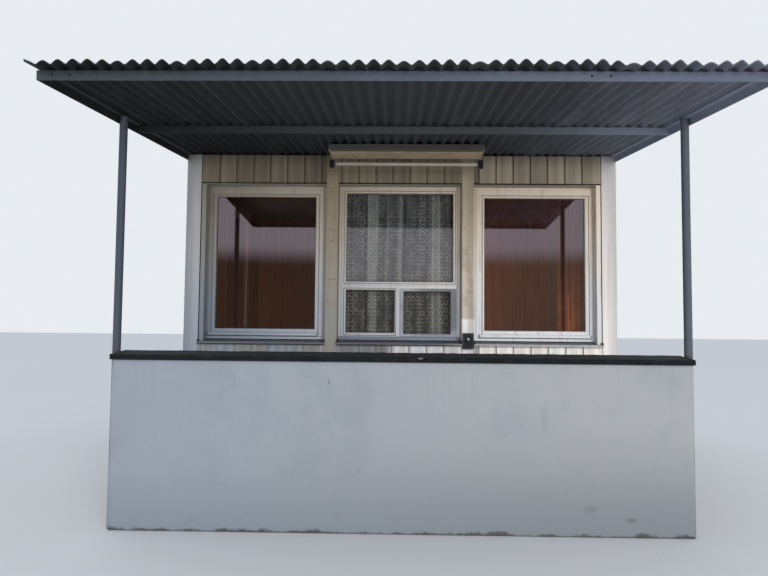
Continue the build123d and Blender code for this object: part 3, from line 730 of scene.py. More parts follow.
# Shadow gaps: a thin dark strip is put in as painted shadow where the middle frame meets its
# mullions and where each frame stands on its sill.
gap_shadow_strip = Finish("gap_shadow_strip", 0.85).mottled(70.0, (26, 25, 26), (50, 47, 46))
gap_shadow_width = 0.0036
gap_shadow_depth = frame_y - 0.0015
gap_shadow_foot = 1.137
foot_height = 0.0065
jamb_cover = 0.045
upright = opening_top - gap_shadow_foot - 0.005
strips = [(-mullion_inner_x, gap_shadow_width, upright),
          (mullion_inner_x - gap_shadow_width, gap_shadow_width, upright),
          (-post_inner_x + jamb_cover, post_inner_x - mullion_outer_x - jamb_cover, foot_height),
          (-mullion_inner_x, 2 * mullion_inner_x, foot_height),
          (mullion_outer_x, post_inner_x - mullion_outer_x - jamb_cover, foot_height)]
skins = []
for x, width, height in strips:
    corners = [(x, 0.0), (x + width, 0.0), (x + width, height), (x, height)]
    skins.append([[(a, depth, gap_shadow_foot + rise) for a, rise in corners]
                  for depth in (gap_shadow_depth, frame_y)])
skinned("gap_shadow_lines", skins, gap_shadow_strip, caps=1, flip=True)

# Head strips: a thin folded metal strip, painted, closes the head of each window, under a dark
# gap below the cladding, where the wall behind is painted in shade.
strip_paint = Finish("head_strip", 0.5).mottled(12.0, (168, 162, 150), (126, 120, 108),
                                                stretch=(1.0, 8.0, 8.0))
strip_section = [(-1.1935, 2.4835), (-1.1935, 2.4885), (-1.19, 2.4885), (-1.19, 2.486),
                 (-1.102, 2.486), (-1.102, 2.4835)]
skinned("window_head_strips",
        [bar(strip_section, x0 + 0.001, x1 - 0.001) for x0, x1, _ in bays.values()],
        strip_paint, flip=True)


# Panes: the side windows carry a brown tinted film that mirrors the light, the middle ones
# are clear glass.
def pane_glass(name, tint, mirror, strength):
    """Glass that mirrors more, the more it is seen from the side, and lets the rest through."""
    coat = Finish(name, 0.025, 1.0)
    coat.shader.inputs["Base Color"].default_value = srgb(*mirror)
    edge_on = coat.value("ShaderNodeFresnel", {"IOR": 1.5})
    outside = 1.0 - coat.value("ShaderNodeNewGeometry", output="Backfacing")
    coat.open_up(coat.maths("MINIMUM", edge_on * strength, 1.0) * outside, srgb(*tint))
    return coat


pane_glass("tinted_glass", (240, 224, 214), (216, 200, 210), 5.8).coat(
    "left_window_glass", "right_window_glass", "side_window_glass")
pane_glass("clear_glass", (243, 246, 246), (232, 224, 226), 3.2).coat(
    "middle_window_glass", "service_sash_glass")

# Service sash: a small metal sash in the middle window. It is hung in front of the frame and
# has its own bead.
sash_paint = Finish("sash_paint", 0.4)
# Painted shade: darker to the right. It is paler and bluer along its foot.
sash_paint.lay(sash_paint.mixed(sash_paint.x.grade(0.03, 0.3), (170, 175, 182), (122, 129, 132)))
sash_paint.lay((172, 177, 190), sash_paint.z.grade(1.2, 1.26, 0.7, 0.0))
sash_paint.lay((104, 110, 112), sash_paint.cloudy(8.0).grade(0.4, 0.75, 0.0, 0.4))
sash_paint.relief(sash_paint.cloudy(80.0), 0.0004)
sash_paint.coat("service_sash", ease=0.002)
hatch_pane = (0.036, 0.445, 1.197, 1.567)
mitred_ring("service_sash_bead", hatch_pane, (0.009,) * 4,
            [(0.0, -1.108), (0.15, -1.1155), (0.7, -1.117), (1.0, -1.1135)], sash_paint)
mitred_ring("service_sash_putty", grown(hatch_pane, (-0.002,) * 4), (0.003,) * 4,
            [(0.0, -1.108), (0.5, -1.1095), (1.0, -1.108)], putty)

# Sills: folded zinc sheet under each window, sloped outward to a pale lip, with a dark
# upstand at each end. The top is dark with stains and painted shade; the lip is painted paler
# to the right as painted light, and on the left and middle sills its foot is a painted shadow.
zinc = Finish("sill_zinc", 0.45, 0.25)
sill_stains = zinc.cloudy(10.0, 5.0, 0.6, stretch=(3.0, 1.0, 1.0))
# Painted light: the lip paler to the right.
sill_right = zinc.x.grade(0.3, 0.8)
lip_tone = zinc.mixed(sill_right, (116, 120, 128), (198, 198, 198))
lip_tone = zinc.mixed(sill_stains.grade(0.35, 0.7, 0.0, 0.4), lip_tone, (120, 124, 130))
# Painted shadow along the foot of the lip on the left and middle sills.
drip_edge_shadow = zinc.z.grade(1.107, 1.1085, 0.9, 0.0) * (1.0 - sill_right)
lip_tone = zinc.mixed(drip_edge_shadow, lip_tone, (36, 37, 40))
# The top: stains, darkened as painted shade.
zinc.lay(zinc.mixed(sill_stains.grade(0.35, 0.7), (100, 104, 114), (70, 73, 80)))
zinc.lay(lip_tone, zinc.z.grade(1.1185, 1.1225, 1.0, 0.0))
zinc.relief(zinc.cloudy(50.0), 0.0006)
zinc.coat("window_sills", ease=0.0015)

cap_rubber = Finish("sill_cap", 0.6).mottled(60.0, (30, 31, 34), (52, 53, 56))
cap_section = [(-1.1, 1.136), (-1.1, 1.154), (-1.2275, 1.137), (-1.2275, 1.1165)]
cap_width = 0.0105
side_sill_half = 0.502
side_sill_x = side_frame_x - frame_y
cap_starts = [start for x0, x1, _ in bays.values()
              for start in (x0 + 0.0005, x1 - 0.0005 - cap_width)]
skins = [bar(cap_section, start, start + cap_width) for start in cap_starts]
for start in (-side_sill_half, side_sill_half - cap_width):
    skins.append([[(side_sill_x + depth, y, z) for depth, z in cap_section]
                  for y in (start + cap_width, start)])
skinned("sill_end_caps", skins, cap_rubber)

# Bell: a black moulded box screwed to the right mullion, with a thin rim, a small pale
# button in a raised ring and a round sounder below it.
bell_face = -1.231
button_centre = (0.5855, bell_face, 1.16)
bell_plastic = Finish("bell_plastic", 0.38).mottled(40.0, (23, 26, 28), (36, 39, 41))
bell_plastic.relief(bell_plastic.cloudy(300.0), 0.0003)
bell_plastic.coat("bell_box", ease=0.004, segments=3)
rim_metal = Finish("bell_rim", 0.4).mottled(60.0, (112, 118, 120), (84, 90, 92))
mitred_ring("bell_rim", (0.5465, 0.6245, 1.084, 1.203), (0.003,) * 4,
            [(0.0, bell_face + 0.0005), (0.2, bell_face - 0.0012), (0.8, bell_face - 0.0012),
             (1.0, bell_face + 0.0005)], rim_metal)
turned("bell_ring", [(button_centre, to_front)],
       [(0.0245, -0.001), (0.0245, 0.0035), (0.0225, 0.005), (0.0145, 0.0045), (0.0125, 0.001)],
       bell_plastic, 40)
turned("bell_sounder", [((0.5864, bell_face, 1.112), to_front)],
       [(0.0195, -0.001), (0.0195, 0.0016), (0.0175, 0.0022), (0.0155, 0.0006), (0.002, 0.0006)],
       bell_plastic, 36)
button_plastic = Finish("bell_button", 0.35).mottled(90.0, (186, 190, 192), (140, 142, 142),
                                                     (0.4, 0.7))
button = turned("bell_push", [(button_centre, to_front)],
                [(0.0108, 0.0), (0.0108, 0.0062), (0.0096, 0.0074), (0.005, 0.007),
                 (0.001, 0.0068)], button_plastic, 40)
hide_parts("bell_button")
turned("bell_screws", [((x, bell_face, z), to_front)
                       for x in (0.5535, 0.6175) for z in (1.091, 1.196)],
       [(0.0038, -0.0005), (0.0038, 0.0008), (0.003, 0.0015), (0.0005, 0.0016)],
       rim_metal, 14)

# Curtain rail: a painted tube fixed inside over the front windows, with thin wire rings
# threaded on it.
rail_y, rail_z = -0.995, 2.5
ring_radius, ring_wire, ring_drop = 0.0105, 0.0013, 0.0015
ring_steps, wire_steps = 16, 6
rail_steel = Finish("rail_steel", 0.35, 0.8).mottled(30.0, (168, 168, 166), (128, 126, 122),
                                                     stretch=(0.3, 4.0, 4.0))
rail_steel.coat("curtain_rail")
ring_spots = [-0.5 + 0.0667 * step for step in range(16)]
ring_spots += [1.4 + 0.045 * step for step in range(7)]
skins = []
for x in ring_spots:
    rings = []
    for angle in (2 * math.pi * step / ring_steps for step in range(ring_steps)):
        ring = []
        for tilt in (2 * math.pi * step / wire_steps for step in range(wire_steps)):
            radius = ring_radius + ring_wire * math.cos(tilt)
            ring.append((x + ring_wire * math.sin(tilt), rail_y + radius * math.cos(angle),
                         rail_z - ring_drop + radius * math.sin(angle)))
        rings.append(ring)
    skins.append(rings)
skinned("curtain_rings", skins, rail_steel, caps=0, looped=True, smooth=True)

# Lace curtain: machine lace with small rings on a fine net, gathered on the rail behind the
# middle window. It hangs in uneven upright folds, doubled where it is folded back.
lace_columns, lace_rows = 416, 44
lace_fold_pitch = 0.094
lace_fold_depth = 0.0175
motif_column, motif_row = 0.0475, 0.065
flower_radius = 0.0165
petal_depth = 0.0012
mesh_pitch = 0.0042


def fold_line(x, drop, seed, pitch, depth):
    """How far a hanging cloth stands out, at a place across and a share of the drop."""
    drift = noise.noise(Vector((x * 3.1 + seed, drop * 0.7, seed))) * 1.9
    phase = 2 * math.pi * x / pitch + drift
    swell = 0.72 + 0.5 * noise.noise(Vector((x * 5.0 - seed, drop * 1.3, 4.0 + seed)))
    return depth * (math.sin(phase) + 0.22 * math.sin(2.1 * phase + 1.0 + drift)) * swell


def hung_cloth(name, left, right, foot, head, columns, rows, shape, finish):
    """A sheet of cloth hung from the rail, with its flat places kept for the weave. Its flat
    width and height come with it."""
    points, faces = [], []
    for row in range(rows + 1):
        drop = row / rows
        for column in range(columns + 1):
            x = left + (right - left) * column / columns
            points.append(Vector((x, rail_y + shape(x, drop), head - (head - foot) * drop)))
    for row in range(rows):
        for a in range(row * (columns + 1), row * (columns + 1) + columns):
            faces.append((a, a + columns + 1, a + columns + 2, a + 1))
    piece = piece_from(name, points, faces, finish, smooth=True)
    lengths = [0.0]
    middle = rows // 2 * (columns + 1)
    for a in range(middle, middle + columns):
        lengths.append(lengths[-1] + (points[a + 1] - points[a]).length)
    layer = piece.data.uv_layers.new(name="flat_cloth")
    for loop in piece.data.loops:
        row, column = divmod(loop.vertex_index, columns + 1)
        layer.data[loop.index].uv = (lengths[column], (head - foot) * (1 - row / rows))
    return piece, lengths[-1], head - foot


def flat_cloth(finish):
    """Place across and up a cloth that is laid flat."""
    return finish.parts(finish.add("ShaderNodeUVMap", uv_map="flat_cloth").outputs[0])[:2]


lace = Finish("lace", 0.85)
flat_side, flat_up = flat_cloth(lace)
side = flat_side / motif_column
up = flat_up / motif_row + lace.maths("MODULO", lace.maths("FLOOR", side), 2.0) * 0.5
cell_x = (side.fraction() - 0.5) * motif_column
cell_z = (up.fraction() - 0.5) * motif_row
radius = lace.maths("SQRT", cell_x * cell_x + cell_z * cell_z)
petals = lace.maths("COSINE", lace.maths("ARCTAN2", cell_z, cell_x) * 8.0) * petal_depth
flower = abs(radius + petals - flower_radius).grade(0.0026, 0.0045, 1.0, 0.0)
stems = lace.maths("MINIMUM", abs(cell_x + cell_z * 0.75), abs(cell_x - cell_z * 0.75))
stems = stems.grade(0.0012, 0.0026, 0.5, 0.0) * radius.grade(0.016, 0.018)
flower = lace.maths("MAXIMUM", flower, stems)
flower = flower * lace.cloudy(11.0, 4.0, 0.6).grade(0.36, 0.6, 0.25, 1.0)
mesh_lines = [abs((place / mesh_pitch).fraction() - 0.5).grade(0.3, 0.42)
              for place in (flat_side, flat_up)]
net = lace.maths("MAXIMUM", *mesh_lines) * (1.0 - radius.grade(0.011, 0.0135, 0.6, 0.0))
cover = lace.maths("MAXIMUM", net, flower).grade(0.0, 1.0, 0.12, 0.95)
layers = lace.value("ShaderNodeAttribute", output="Fac", attribute_name="layers")
lace.lay(lace.mixed(flower, (124, 121, 121), (214, 209, 203)))
lace.lay((214, 210, 204), layers.grade(1.7, 2.8, 0.0, 0.85))
lace.lay((104, 102, 104), lace.cloudy(5.0) * 0.5)
lace.open_up(1.0 - lace.maths("POWER", 1.0 - cover, layers))

lace_curtain, lace_width, lace_length = hung_cloth(
    "lace_sheet", -0.52, 0.52, 1.15, 2.49, lace_columns, lace_rows,
    lambda x, drop: fold_line(x, drop, 2.0, lace_fold_pitch, lace_fold_depth), lace)
# Where the cloth is doubled: place across, half width, how much is laid over and how it
# widens to the foot. Where it is thin: place across, half width and loss.
doubled = [(-0.243, 0.042, 2.1, -0.6), (-0.111, 0.008, 0.9, 0.0), (0.005, 0.02, 1.5, 0.2),
           (0.176, 0.007, 1.0, 0.0), (0.33, 0.046, 1.6, 0.5), (0.292, 0.007, 1.2, 0.0),
           (-0.49, 0.03, 0.5, 0.0)]
thin_places = [(-0.3, 0.0095, 0.97), (0.04, 0.0065, 0.85), (0.457, 0.012, 0.85),
               (-0.372, 0.03, 0.35), (0.4, 0.02, 0.35)]
layer_values = []
for vertex in lace_curtain.data.vertices:
    row, column = divmod(vertex.index, lace_columns + 1)
    near = lace_curtain.data.vertices[vertex.index - 1 if column else vertex.index + 1].co
    step_y, step_x = vertex.co.y - near.y, vertex.co.x - near.x
    amount = (step_y ** 2 + step_x ** 2) ** 0.5 / abs(step_x)
    wander = 0.012 * noise.noise(Vector((vertex.co.x * 2.0, vertex.co.z * 1.5, 6.0)))
    for place, half, extra, spread in doubled:
        half *= 1 + spread * (row / lace_rows - 0.5)
        amount += extra * math.exp(-(abs(vertex.co.x + wander - place) / half) ** 4)
    for place, half, loss in thin_places:
        amount *= 1 - loss * math.exp(-(abs(vertex.co.x + wander - place) / half) ** 4)
    layer_values.append(amount)
layer_data = lace_curtain.data.attributes.new("layers", "FLOAT", "POINT").data
layer_data.foreach_set("value", layer_values)
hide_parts("lace_curtain")

# Drape: a heavy rust brown curtain of plain weave, gathered on the rail and drawn to the right
# side of the right window. Light catches the edges of some of its folds.
thread_pitch = 0.0016
drape_fold_pitch = 0.062
drape_cloth = Finish("drape_cloth", 0.9)
threads = [drape_cloth.maths("SINE", place * (2 * math.pi / thread_pitch))
           for place in flat_cloth(drape_cloth)]
drape_height = drape_cloth.z
drape_cloth.lay(drape_cloth.mixed(drape_height.grade(1.25, 1.9), (172, 134, 114), (98, 84, 77)))
drape_cloth.lay((112, 80, 68), drape_cloth.cloudy(7.0).grade(0.4, 0.7, 0.0, 0.6))
lit_folds = drape_cloth.cloudy(1.0, 2.0, 0.5, stretch=(46.0, 1.0, 1.1), shift=(2.0, 0.0, 5.0))
drape_cloth.lay((250, 196, 150),
                lit_folds.grade(0.56, 0.64) * drape_height.grade(1.55, 1.85, 0.8, 0.0))
drape_cloth.relief(threads[0] * threads[1], 0.0003)
drape_cloth.shader.inputs["Sheen Weight"].default_value = 0.25
drape, drape_width, drape_length = hung_cloth(
    "window_drape_cloth", 1.385, 1.68, 1.14, 2.49, 150, 44,
    lambda x, drop: fold_line(x, drop, 9.0, drape_fold_pitch, 0.017 + 0.004 * drop),
    drape_cloth)
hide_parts("window_drape")

# Ceiling: sheets of painted board nailed up inside, with the joints between them showing. It
# is painted paler and warmer to the right as painted daylight.
ceiling_sheet = 0.85
ceiling = Finish("ceiling_board", 0.8)
ceiling_joint = abs((ceiling.x / ceiling_sheet).fraction() - 0.5).grade(0.004, 0.008, 0.7, 0.0)
ceiling.lay(ceiling.mixed(ceiling.x.grade(0.2, 0.9), (178, 188, 188), (250, 216, 186)))
ceiling.lay((168, 160, 144), ceiling.cloudy(3.0).grade(0.4, 0.7, 0.0, 0.3))
ceiling.lay((80, 76, 68), ceiling_joint)
ceiling.relief(ceiling.cloudy(50.0), 0.001)
ceiling.coat("ceiling")

# Door: a flush painted leaf in a wooden frame, with two planted mouldings, a lever handle on
# a long plate and three hinges.
door_face = 1.817
door = Finish("door_paint", 0.5)
door.lay(door.mixed(door.streaks(24.0, 1.6).grade(0.4, 0.75), (122, 108, 92), (98, 84, 70)))
door.lay((84, 74, 60), (door.z + door.cloudy(9.0) * 0.2).grade(0.3, 0.6, 0.5, 0.0))
door.relief(door.cloudy(60.0), 0.0006)
door.coat("door_leaf", ease=0.003)
window_paint.coat("door_frame", ease=0.003)
handle_steel = Finish("handle_steel", 0.35, 0.9).mottled(60.0, (176, 174, 170), (126, 118, 108),
                                                         (0.45, 0.7))
handle_steel.coat("door_handle", ease=0.001)
handle_steel.coat("door_hinges")
moulding_section = [(0.0, -0.001), (0.08, 0.007), (0.4, 0.009), (0.75, 0.006), (1.0, -0.001)]
for label, low, high in (("upper", 1.36, 2.08), ("lower", 0.42, 1.2)):
    mitred_ring(f"door_moulding_{label}", (-0.13, 0.45, low, high), (0.028,) * 4,
                [(share, door_face + rise) for share, rise in moulding_section], door,
                wall="right")
turned("keyhole_plate", [((1.825, -0.22, 1.155), (1, 0, 0))],
       [(0.013, -0.001), (0.013, 0.002), (0.011, 0.003), (0.0045, 0.003), (0.004, -0.0005)],
       handle_steel, 28)

# Canopy steel: rolled angles painted slate blue grey, welded to round tube posts. The fascia
# is bolted through in pairs, and rust shows at the joints.
fascia_face = -3.544
steel = Finish("steel_slate", 0.45)
steel_streaks = steel.cloudy(6.0, 5.0, 0.6, stretch=(0.5, 3.0, 3.0))
# Painted shade and light: the fascia darker to the left and paler and bluer to the right.
steel.lay(steel.mixed(steel.x.grade(-1.8, 1.6), (54, 59, 66), (84, 92, 108)))
steel.lay((64, 69, 78), steel_streaks.grade(0.42, 0.78, 0.0, 0.4))
steel.lay((88, 66, 54), steel.cloudy(9.0, 6.0, 0.7).grade(0.66, 0.74) * 0.6)
steel.link(steel_streaks.grade(0.3, 0.8, 0.38, 0.6), "Roughness")
steel.relief(steel.cloudy(120.0, 3.0), 0.0006)
steel.coat("canopy_fascia", ease=0.0015)
shaded_steel = Finish("steel_in_shade", 0.6)
shaded_x = shaded_steel.x
# Painted shade and light: dark on the left, pale blue grey on the right as painted light, and the
# outer faces in the fascia's tone as they face the light.
shaded_steel.lay(shaded_steel.mixed(shaded_x.grade(-1.9, 0.3), (32, 34, 36), (90, 93, 91)))
shaded_steel.lay((150, 157, 174), shaded_x.grade(0.5, 1.9))
shaded_steel.lay((50, 53, 57), shaded_steel.cloudy(7.0, 5.0) * 0.3)
shaded_steel.lay((78, 84, 96), (shaded_steel.facing()[0] * shaded_x).grade(0.8, 1.4))
shaded_steel.relief(shaded_steel.cloudy(120.0, 3.0), 0.0006)
shaded_steel.coat("canopy_side_beams", "roof_purlins", ease=0.0012)
bolt_steel = Finish("bolt_heads", 0.6, 0.3).mottled(200.0, (30, 31, 34), (50, 44, 42))
turned("fascia_bolts",
       [((x, fascia_face, 2.5205), to_front) for x in (-1.774, -1.682, 0.933, 1.026)],
       [(0.0065, -0.001), (0.0065, 0.0012), (0.0055, 0.0032), (0.003, 0.0042), (0.0005, 0.0045)],
       bolt_steel, 16)

tube_x, tube_y, tube_radius = 1.8162, -2.588, 0.0255
tube_head = under_roof(tube_y) - 0.0055
tube_paint = Finish("post_slate", 0.42)
# Painted shade and light: the left post darker than the right one.
tube_paint.lay(tube_paint.mixed(tube_paint.x.grade(-1.8, 1.8), (61, 69, 82), (73, 79, 89)))
tube_paint.lay((70, 76, 88), tube_paint.streaks(30.0, 1.6).grade(0.44, 0.78, 0.0, 0.5))
tube_foot = tube_paint.z + tube_paint.cloudy(30.0, 5.0) * 0.05
tube_rust = tube_foot.grade(1.1, 1.15, 0.7, 0.0) * tube_foot.grade(0.98, 1.06)
tube_rust = tube_paint.maths("MAXIMUM", tube_rust, tube_foot.grade(0.03, 0.14, 0.7, 0.0))
tube_paint.lay((82, 64, 54), tube_rust)
tube_paint.relief(tube_paint.cloudy(90.0, 3.0), 0.0005)
tube_profile = [(0.0, 0.0), (0.0, 1.07), (0.0, 1.096), (0.0015, 1.098), (0.0, 1.101), (0.0, 1.8),
                (0.0, tube_head - 0.008), (0.0035, tube_head - 0.004), (0.003, tube_head)]
posts = turned("canopy_tubes", [((side * tube_x, tube_y, 0.0), (0, 0, 1)) for side in (-1, 1)],
               [(tube_radius + swell, level) for swell, level in tube_profile],
               tube_paint, 40)
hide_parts("canopy_posts")

# Roof: corrugated sheets laid side by side from the back wall to the canopy's edge, each
# lapping over the next crest, and nailed through every fifth crest, which draws it down.
wave = 0.0738
wave_rise = 0.027
wave_seat = 0.0147
sheet_skin = 0.002
first_crest = -1.845
lap_rise = 0.0034
seam_crests = [0, 11, 20, 29, 38, 50]
nail_pulls = {1: 0.8, 6: 1.0, 10: 1.2, 15: 0.8, 20: 1.2, 25: 1.0, 30: 1.7, 35: 1.2, 40: 2.0,
              45: 1.2, 49: 0.8}
nail_lines = [-3.53, -2.29, -1.12, 0.02, 1.12]
wave_steps = 14
lap_over, lap_under, edge_steps = 5, 3, 3
eave_y, back_y = -3.634, 1.32
stations = [eave_y, eave_y + 0.02] + [eave_y + 0.06 + 0.11 * step for step in range(7)]
stations += [-2.8 + 0.2 * step for step in range(20)] + [1.13, 1.2, 1.27, back_y]


def corner_lift(place, y):
    """Share by which the front left corner of the roof has been bent up and flat."""
    return math.exp(-((y - eave_y) / 0.4) ** 2) if place < 0.5 else 0.0


def sheet_height(place, y):
    """Middle of the sheets over the roof plane: the waves, and how far the nails draw them down."""
    crest = (0.5 + 0.5 * math.cos(2 * math.pi * place)) ** 0.72
    pull = 0.0
    for mark, strength in nail_pulls.items():
        near = strength * math.exp(-((place - mark) / 0.75) ** 2)
        for line in nail_lines:
            pull += near * math.exp(-((y - line) / 0.3) ** 2)
    bulge = 0.0014 * math.sin(2 * math.pi * (place - 1) / 4.9 + math.pi / 2) * -1
    loose = 0.0022 * noise.noise(Vector((place * 1.7, y * 0.8, 3.0)))
    height = wave_seat + wave_rise * (crest - 0.5) + crest * (bulge - 0.0075 * pull + loose)
    bent = wave_seat - 0.5 * wave_rise + 0.021 * (0.5 - place) / 0.7
    lift = corner_lift(place, y)
    return height * (1 - lift) + bent * lift


sheet = Finish("roof_sheet", 0.8)
under_cloud = sheet.cloudy(5.0, 5.0, 0.6, stretch=(3.0, 0.5, 1.0))
weather = sheet.cloudy(2.6, 6.0, 0.62, stretch=(2.0, 0.5, 1.0))
lichen = sheet.grains(38.0).grade(0.12, 0.3, 1.0, 0.0)
lichen = lichen * sheet.cloudy(4.0, shift=(3.0, 1.0, 0.0)).grade(0.52, 0.66)
top_sheet = sheet.mixed(weather.grade(0.35, 0.7), (72, 74, 77), (98, 99, 98))
top_sheet = sheet.mixed(lichen * 0.6, top_sheet, (136, 138, 120))
# Painted shade underneath: the sheets dark, paling to the right as painted light. The tops are
# weathered grey with lichen.
sheet.lay(sheet.mixed(sheet.x.grade(-1.9, 0.4), (15, 17, 19), (60, 63, 65)))
sheet.lay((128, 131, 142), sheet.x.grade(0.6, 1.95))
sheet.lay((44, 46, 50), under_cloud.grade(0.35, 0.7, 0.0, 0.3))
sheet.lay(top_sheet, sheet.facing()[2].grade(-0.1, 0.2))
sheet.relief(sheet.cloudy(140.0, 4.0), 0.001)

for number, (first, last) in enumerate(zip(seam_crests[:-1], seam_crests[1:])):
    lift, reach = (lap_rise, lap_over) if number % 2 else (0.0, lap_under)
    lap_start = edge_steps if first == 0 else reach
    lap_end = edge_steps if last == seam_crests[-1] else reach
    steps = (last - first) * wave_steps + lap_start + lap_end
    row = steps + 1
    points, faces = [], []
    for y in stations:
        for skin in (0.5, -0.5):
            for step in range(row):
                place = first + (step - lap_start) / wave_steps
                bent = corner_lift(place, y)
                curled = 0.011 * bent * min(1.0, (0.5 - place) / 0.3)
                z = under_roof(y) + sheet_height(place, y) + lift + skin * (sheet_skin + curled)
                points.append((first_crest + place * wave - 0.006 * bent * (0.5 - place), y, z))
    for station in range(len(stations) - 1):
        for skin in (0, 1):
            for a in range((2 * station + skin) * row, (2 * station + skin) * row + steps):
                face = (a, a + 1, a + 2 * row + 1, a + 2 * row)
                faces.append(tuple(reversed(face)) if skin else face)
        for step in (0, steps):
            a = 2 * station * row + step
            face = (a, a + row, a + 3 * row, a + 2 * row)
            faces.append(face if step else tuple(reversed(face)))
    for station in (0, len(stations) - 1):
        for a in range(2 * station * row, 2 * station * row + steps):
            face = (a, a + row, a + row + 1, a + 1)
            faces.append(tuple(reversed(face)) if station else face)
    name = f"roof_sheet_{number + 1}"
    roofing = piece_from(name, points, faces, sheet, smooth=True)
    if number == 0:
        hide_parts("roof_sheets_lower", "roof_sheets_upper")

# Roof nails: steel dome heads on soft washers, driven square to the slope through each pulled
# crest over every bearer.
washers = Finish("nail_washers", 0.7, 0.2).mottled(60.0, (60, 58, 56), (104, 84, 66))
roof_up = (0, -math.sin(roof_fall), math.cos(roof_fall))
heads = []
for mark in nail_pulls:
    for line in nail_lines:
        if mark == 49 and line > 1.0:
            continue
        z = under_roof(line) + sheet_height(mark, line) + 0.5 * sheet_skin
        lift = lap_rise if 11 <= mark <= 20 or 29 <= mark <= 38 else 0.0
        heads.append(((first_crest + mark * wave, line, z + lift - 0.001), roof_up))
turned("roof_nails", heads,
       [(0.014, -0.001), (0.0145, 0.002), (0.009, 0.0035), (0.0085, 0.0045), (0.006, 0.0075),
        (0.0005, 0.009)], washers, 12)

# Low wall: masonry rendered and limewashed, a little wavy, with one nick, a scuff near the
# right end and a ragged dark line where earth has splashed its foot.
wall_half, wall_top = 1.8012, 1.047
wall_front, wall_back = -2.688, -2.488
wall_corner, wall_step = 0.008, 0.035
dents = [(-0.44, 0.9215, 0.012, 0.004), (1.41, 0.105, 0.03, 0.002), (0.9, 0.4, 0.2, 0.0015),
         (-1.1, 0.6, 0.3, 0.0015)]


def rounded_shell(low, high, corner, step, roughen):
    """A block with eased edges whose faces are divided finely enough to be uneven."""
    low, high = Vector(low), Vector(high)
    points, faces, known, lines = [], [], {}, []
    for a, b in zip(low, high):
        flat = b - a - 2 * corner
        inner = max(1, round(flat / step))
        marks = [a + corner + flat * n / inner for n in range(inner + 1)]
        lines.append([a, a + corner * 0.4, *marks, b - corner * 0.4, b])
    inner_low, inner_high = low + Vector((corner,) * 3), high - Vector((corner,) * 3)

    def point(spot):
        key = tuple(round(value, 5) for value in spot)
        if key not in known:
            core = Vector(min(max(value, least), most)
                          for value, least, most in zip(Vector(spot), inner_low, inner_high))
            out = (Vector(spot) - core).normalized()
            known[key] = len(points)
            points.append(roughen(core + out * corner, out))
        return known[key]

    for axis in range(3):
        u, v = [other for other in range(3) if other != axis]
        for end, value in enumerate((low[axis], high[axis])):
            for i in range(len(lines[u]) - 1):
                for j in range(len(lines[v]) - 1):
                    corners = []
                    for du, dv in ((0, 0), (1, 0), (1, 1), (0, 1)):
                        spot = [value] * 3
                        spot[u], spot[v] = lines[u][i + du], lines[v][j + dv]
                        corners.append(point(spot))
                    if len(set(corners)) > 2:
                        flip = (end == 1) == (axis == 1)
                        faces.append(tuple(reversed(corners)) if flip else tuple(corners))
    return points, faces


def plaster_surface(spot, out):
    """The plaster's own place at a point of the block."""
    if out.z > 0.5 or spot.z < 0.001:
        return spot
    push = 0.0028 * noise.noise(spot * 2.2) + 0.0009 * noise.noise(spot * 9.0) - 0.001
    if out.y < -0.5:
        for x, z, radius, depth in dents:
            push -= depth * math.exp(-(((spot.x - x) ** 2 + (spot.z - z) ** 2) / radius ** 2))
    return spot + out * push


def spot_mark(finish, x, z, width, height, blur):
    """A mark on a face towards the front, one inside its edge and nought outside."""
    over, up = (finish.x - x) / width, (finish.z - z) / height
    away = over * over + up * up + finish.cloudy(60.0) * 0.8
    return away.grade(1.1 - blur, 1.1 + blur, 1.0, 0.0)


plaster = Finish("plaster", 0.88)
mottle = plaster.cloudy(3.2, 6.0, 0.62)
fine_grain = plaster.cloudy(22.0, 5.0, 0.6)
to_right = plaster.x.grade(-1.8, 1.8)
plaster.lay(plaster.mixed(to_right, (143, 151, 161), (152, 155, 157)))
plaster.lay((131, 139, 148), mottle.grade(0.4, 0.72, 0.0, 0.45))
plaster.lay((146, 150, 154), fine_grain.grade(0.52, 0.8, 0.0, 0.3))
# Painted shade: darker towards the foot, more so to the right.
foot_shade = plaster.z + mottle * 0.3
plaster.lay((124, 133, 142), foot_shade.grade(0.14, 0.6, 0.7, 0.0))
plaster.lay((112, 117, 122), foot_shade.grade(0.2, 0.9, 0.6, 0.0) * to_right)
runs = plaster.streaks(16.0, 0.8).grade(0.52, 0.72) * plaster.z.grade(0.55, 1.04, 0.0, 0.22)
plaster.lay((132, 136, 138), runs)
foot_edge = plaster.z + plaster.cloudy(11.0, 6.0, 0.65) * -0.09
plaster.lay((72, 71, 70), foot_edge.grade(-0.043, -0.024, 0.9, 0.0))
crack_wander = plaster.add("ShaderNodeTexNoise", {"Vector": plaster.place, "Scale": 5.0})
crack_place = plaster.value("ShaderNodeVectorMath",
                            {0: plaster.place, 1: crack_wander.outputs["Color"]}, operation="ADD")
cracks = plaster.value("ShaderNodeTexVoronoi", {"Vector": crack_place, "Scale": 0.9}, "Distance",
                       feature="DISTANCE_TO_EDGE")
crack_line = cracks.grade(0.0, 0.0025, 1.0, 0.0) * mottle.grade(0.55, 0.62, 0.0, 0.35)
plaster.lay((96, 98, 100), crack_line)
for x, z, width, height, blur, share, tone in (
    (-0.44, 0.9215, 0.006, 0.018, 0.3, 0.7, (96, 100, 106)),
    (1.41, 0.105, 0.036, 0.02, 0.5, 0.5, (92, 90, 88)),
    (0.889, 0.713, 0.03, 0.1, 0.8, 0.16, (96, 100, 104)),
    (1.162, 0.168, 0.05, 0.022, 0.7, 0.3, (92, 94, 96)),
):
    plaster.lay(tone, spot_mark(plaster, x, z, width, height, blur) * share)
plaster.relief(fine_grain + plaster.cloudy(120.0), 0.0014)

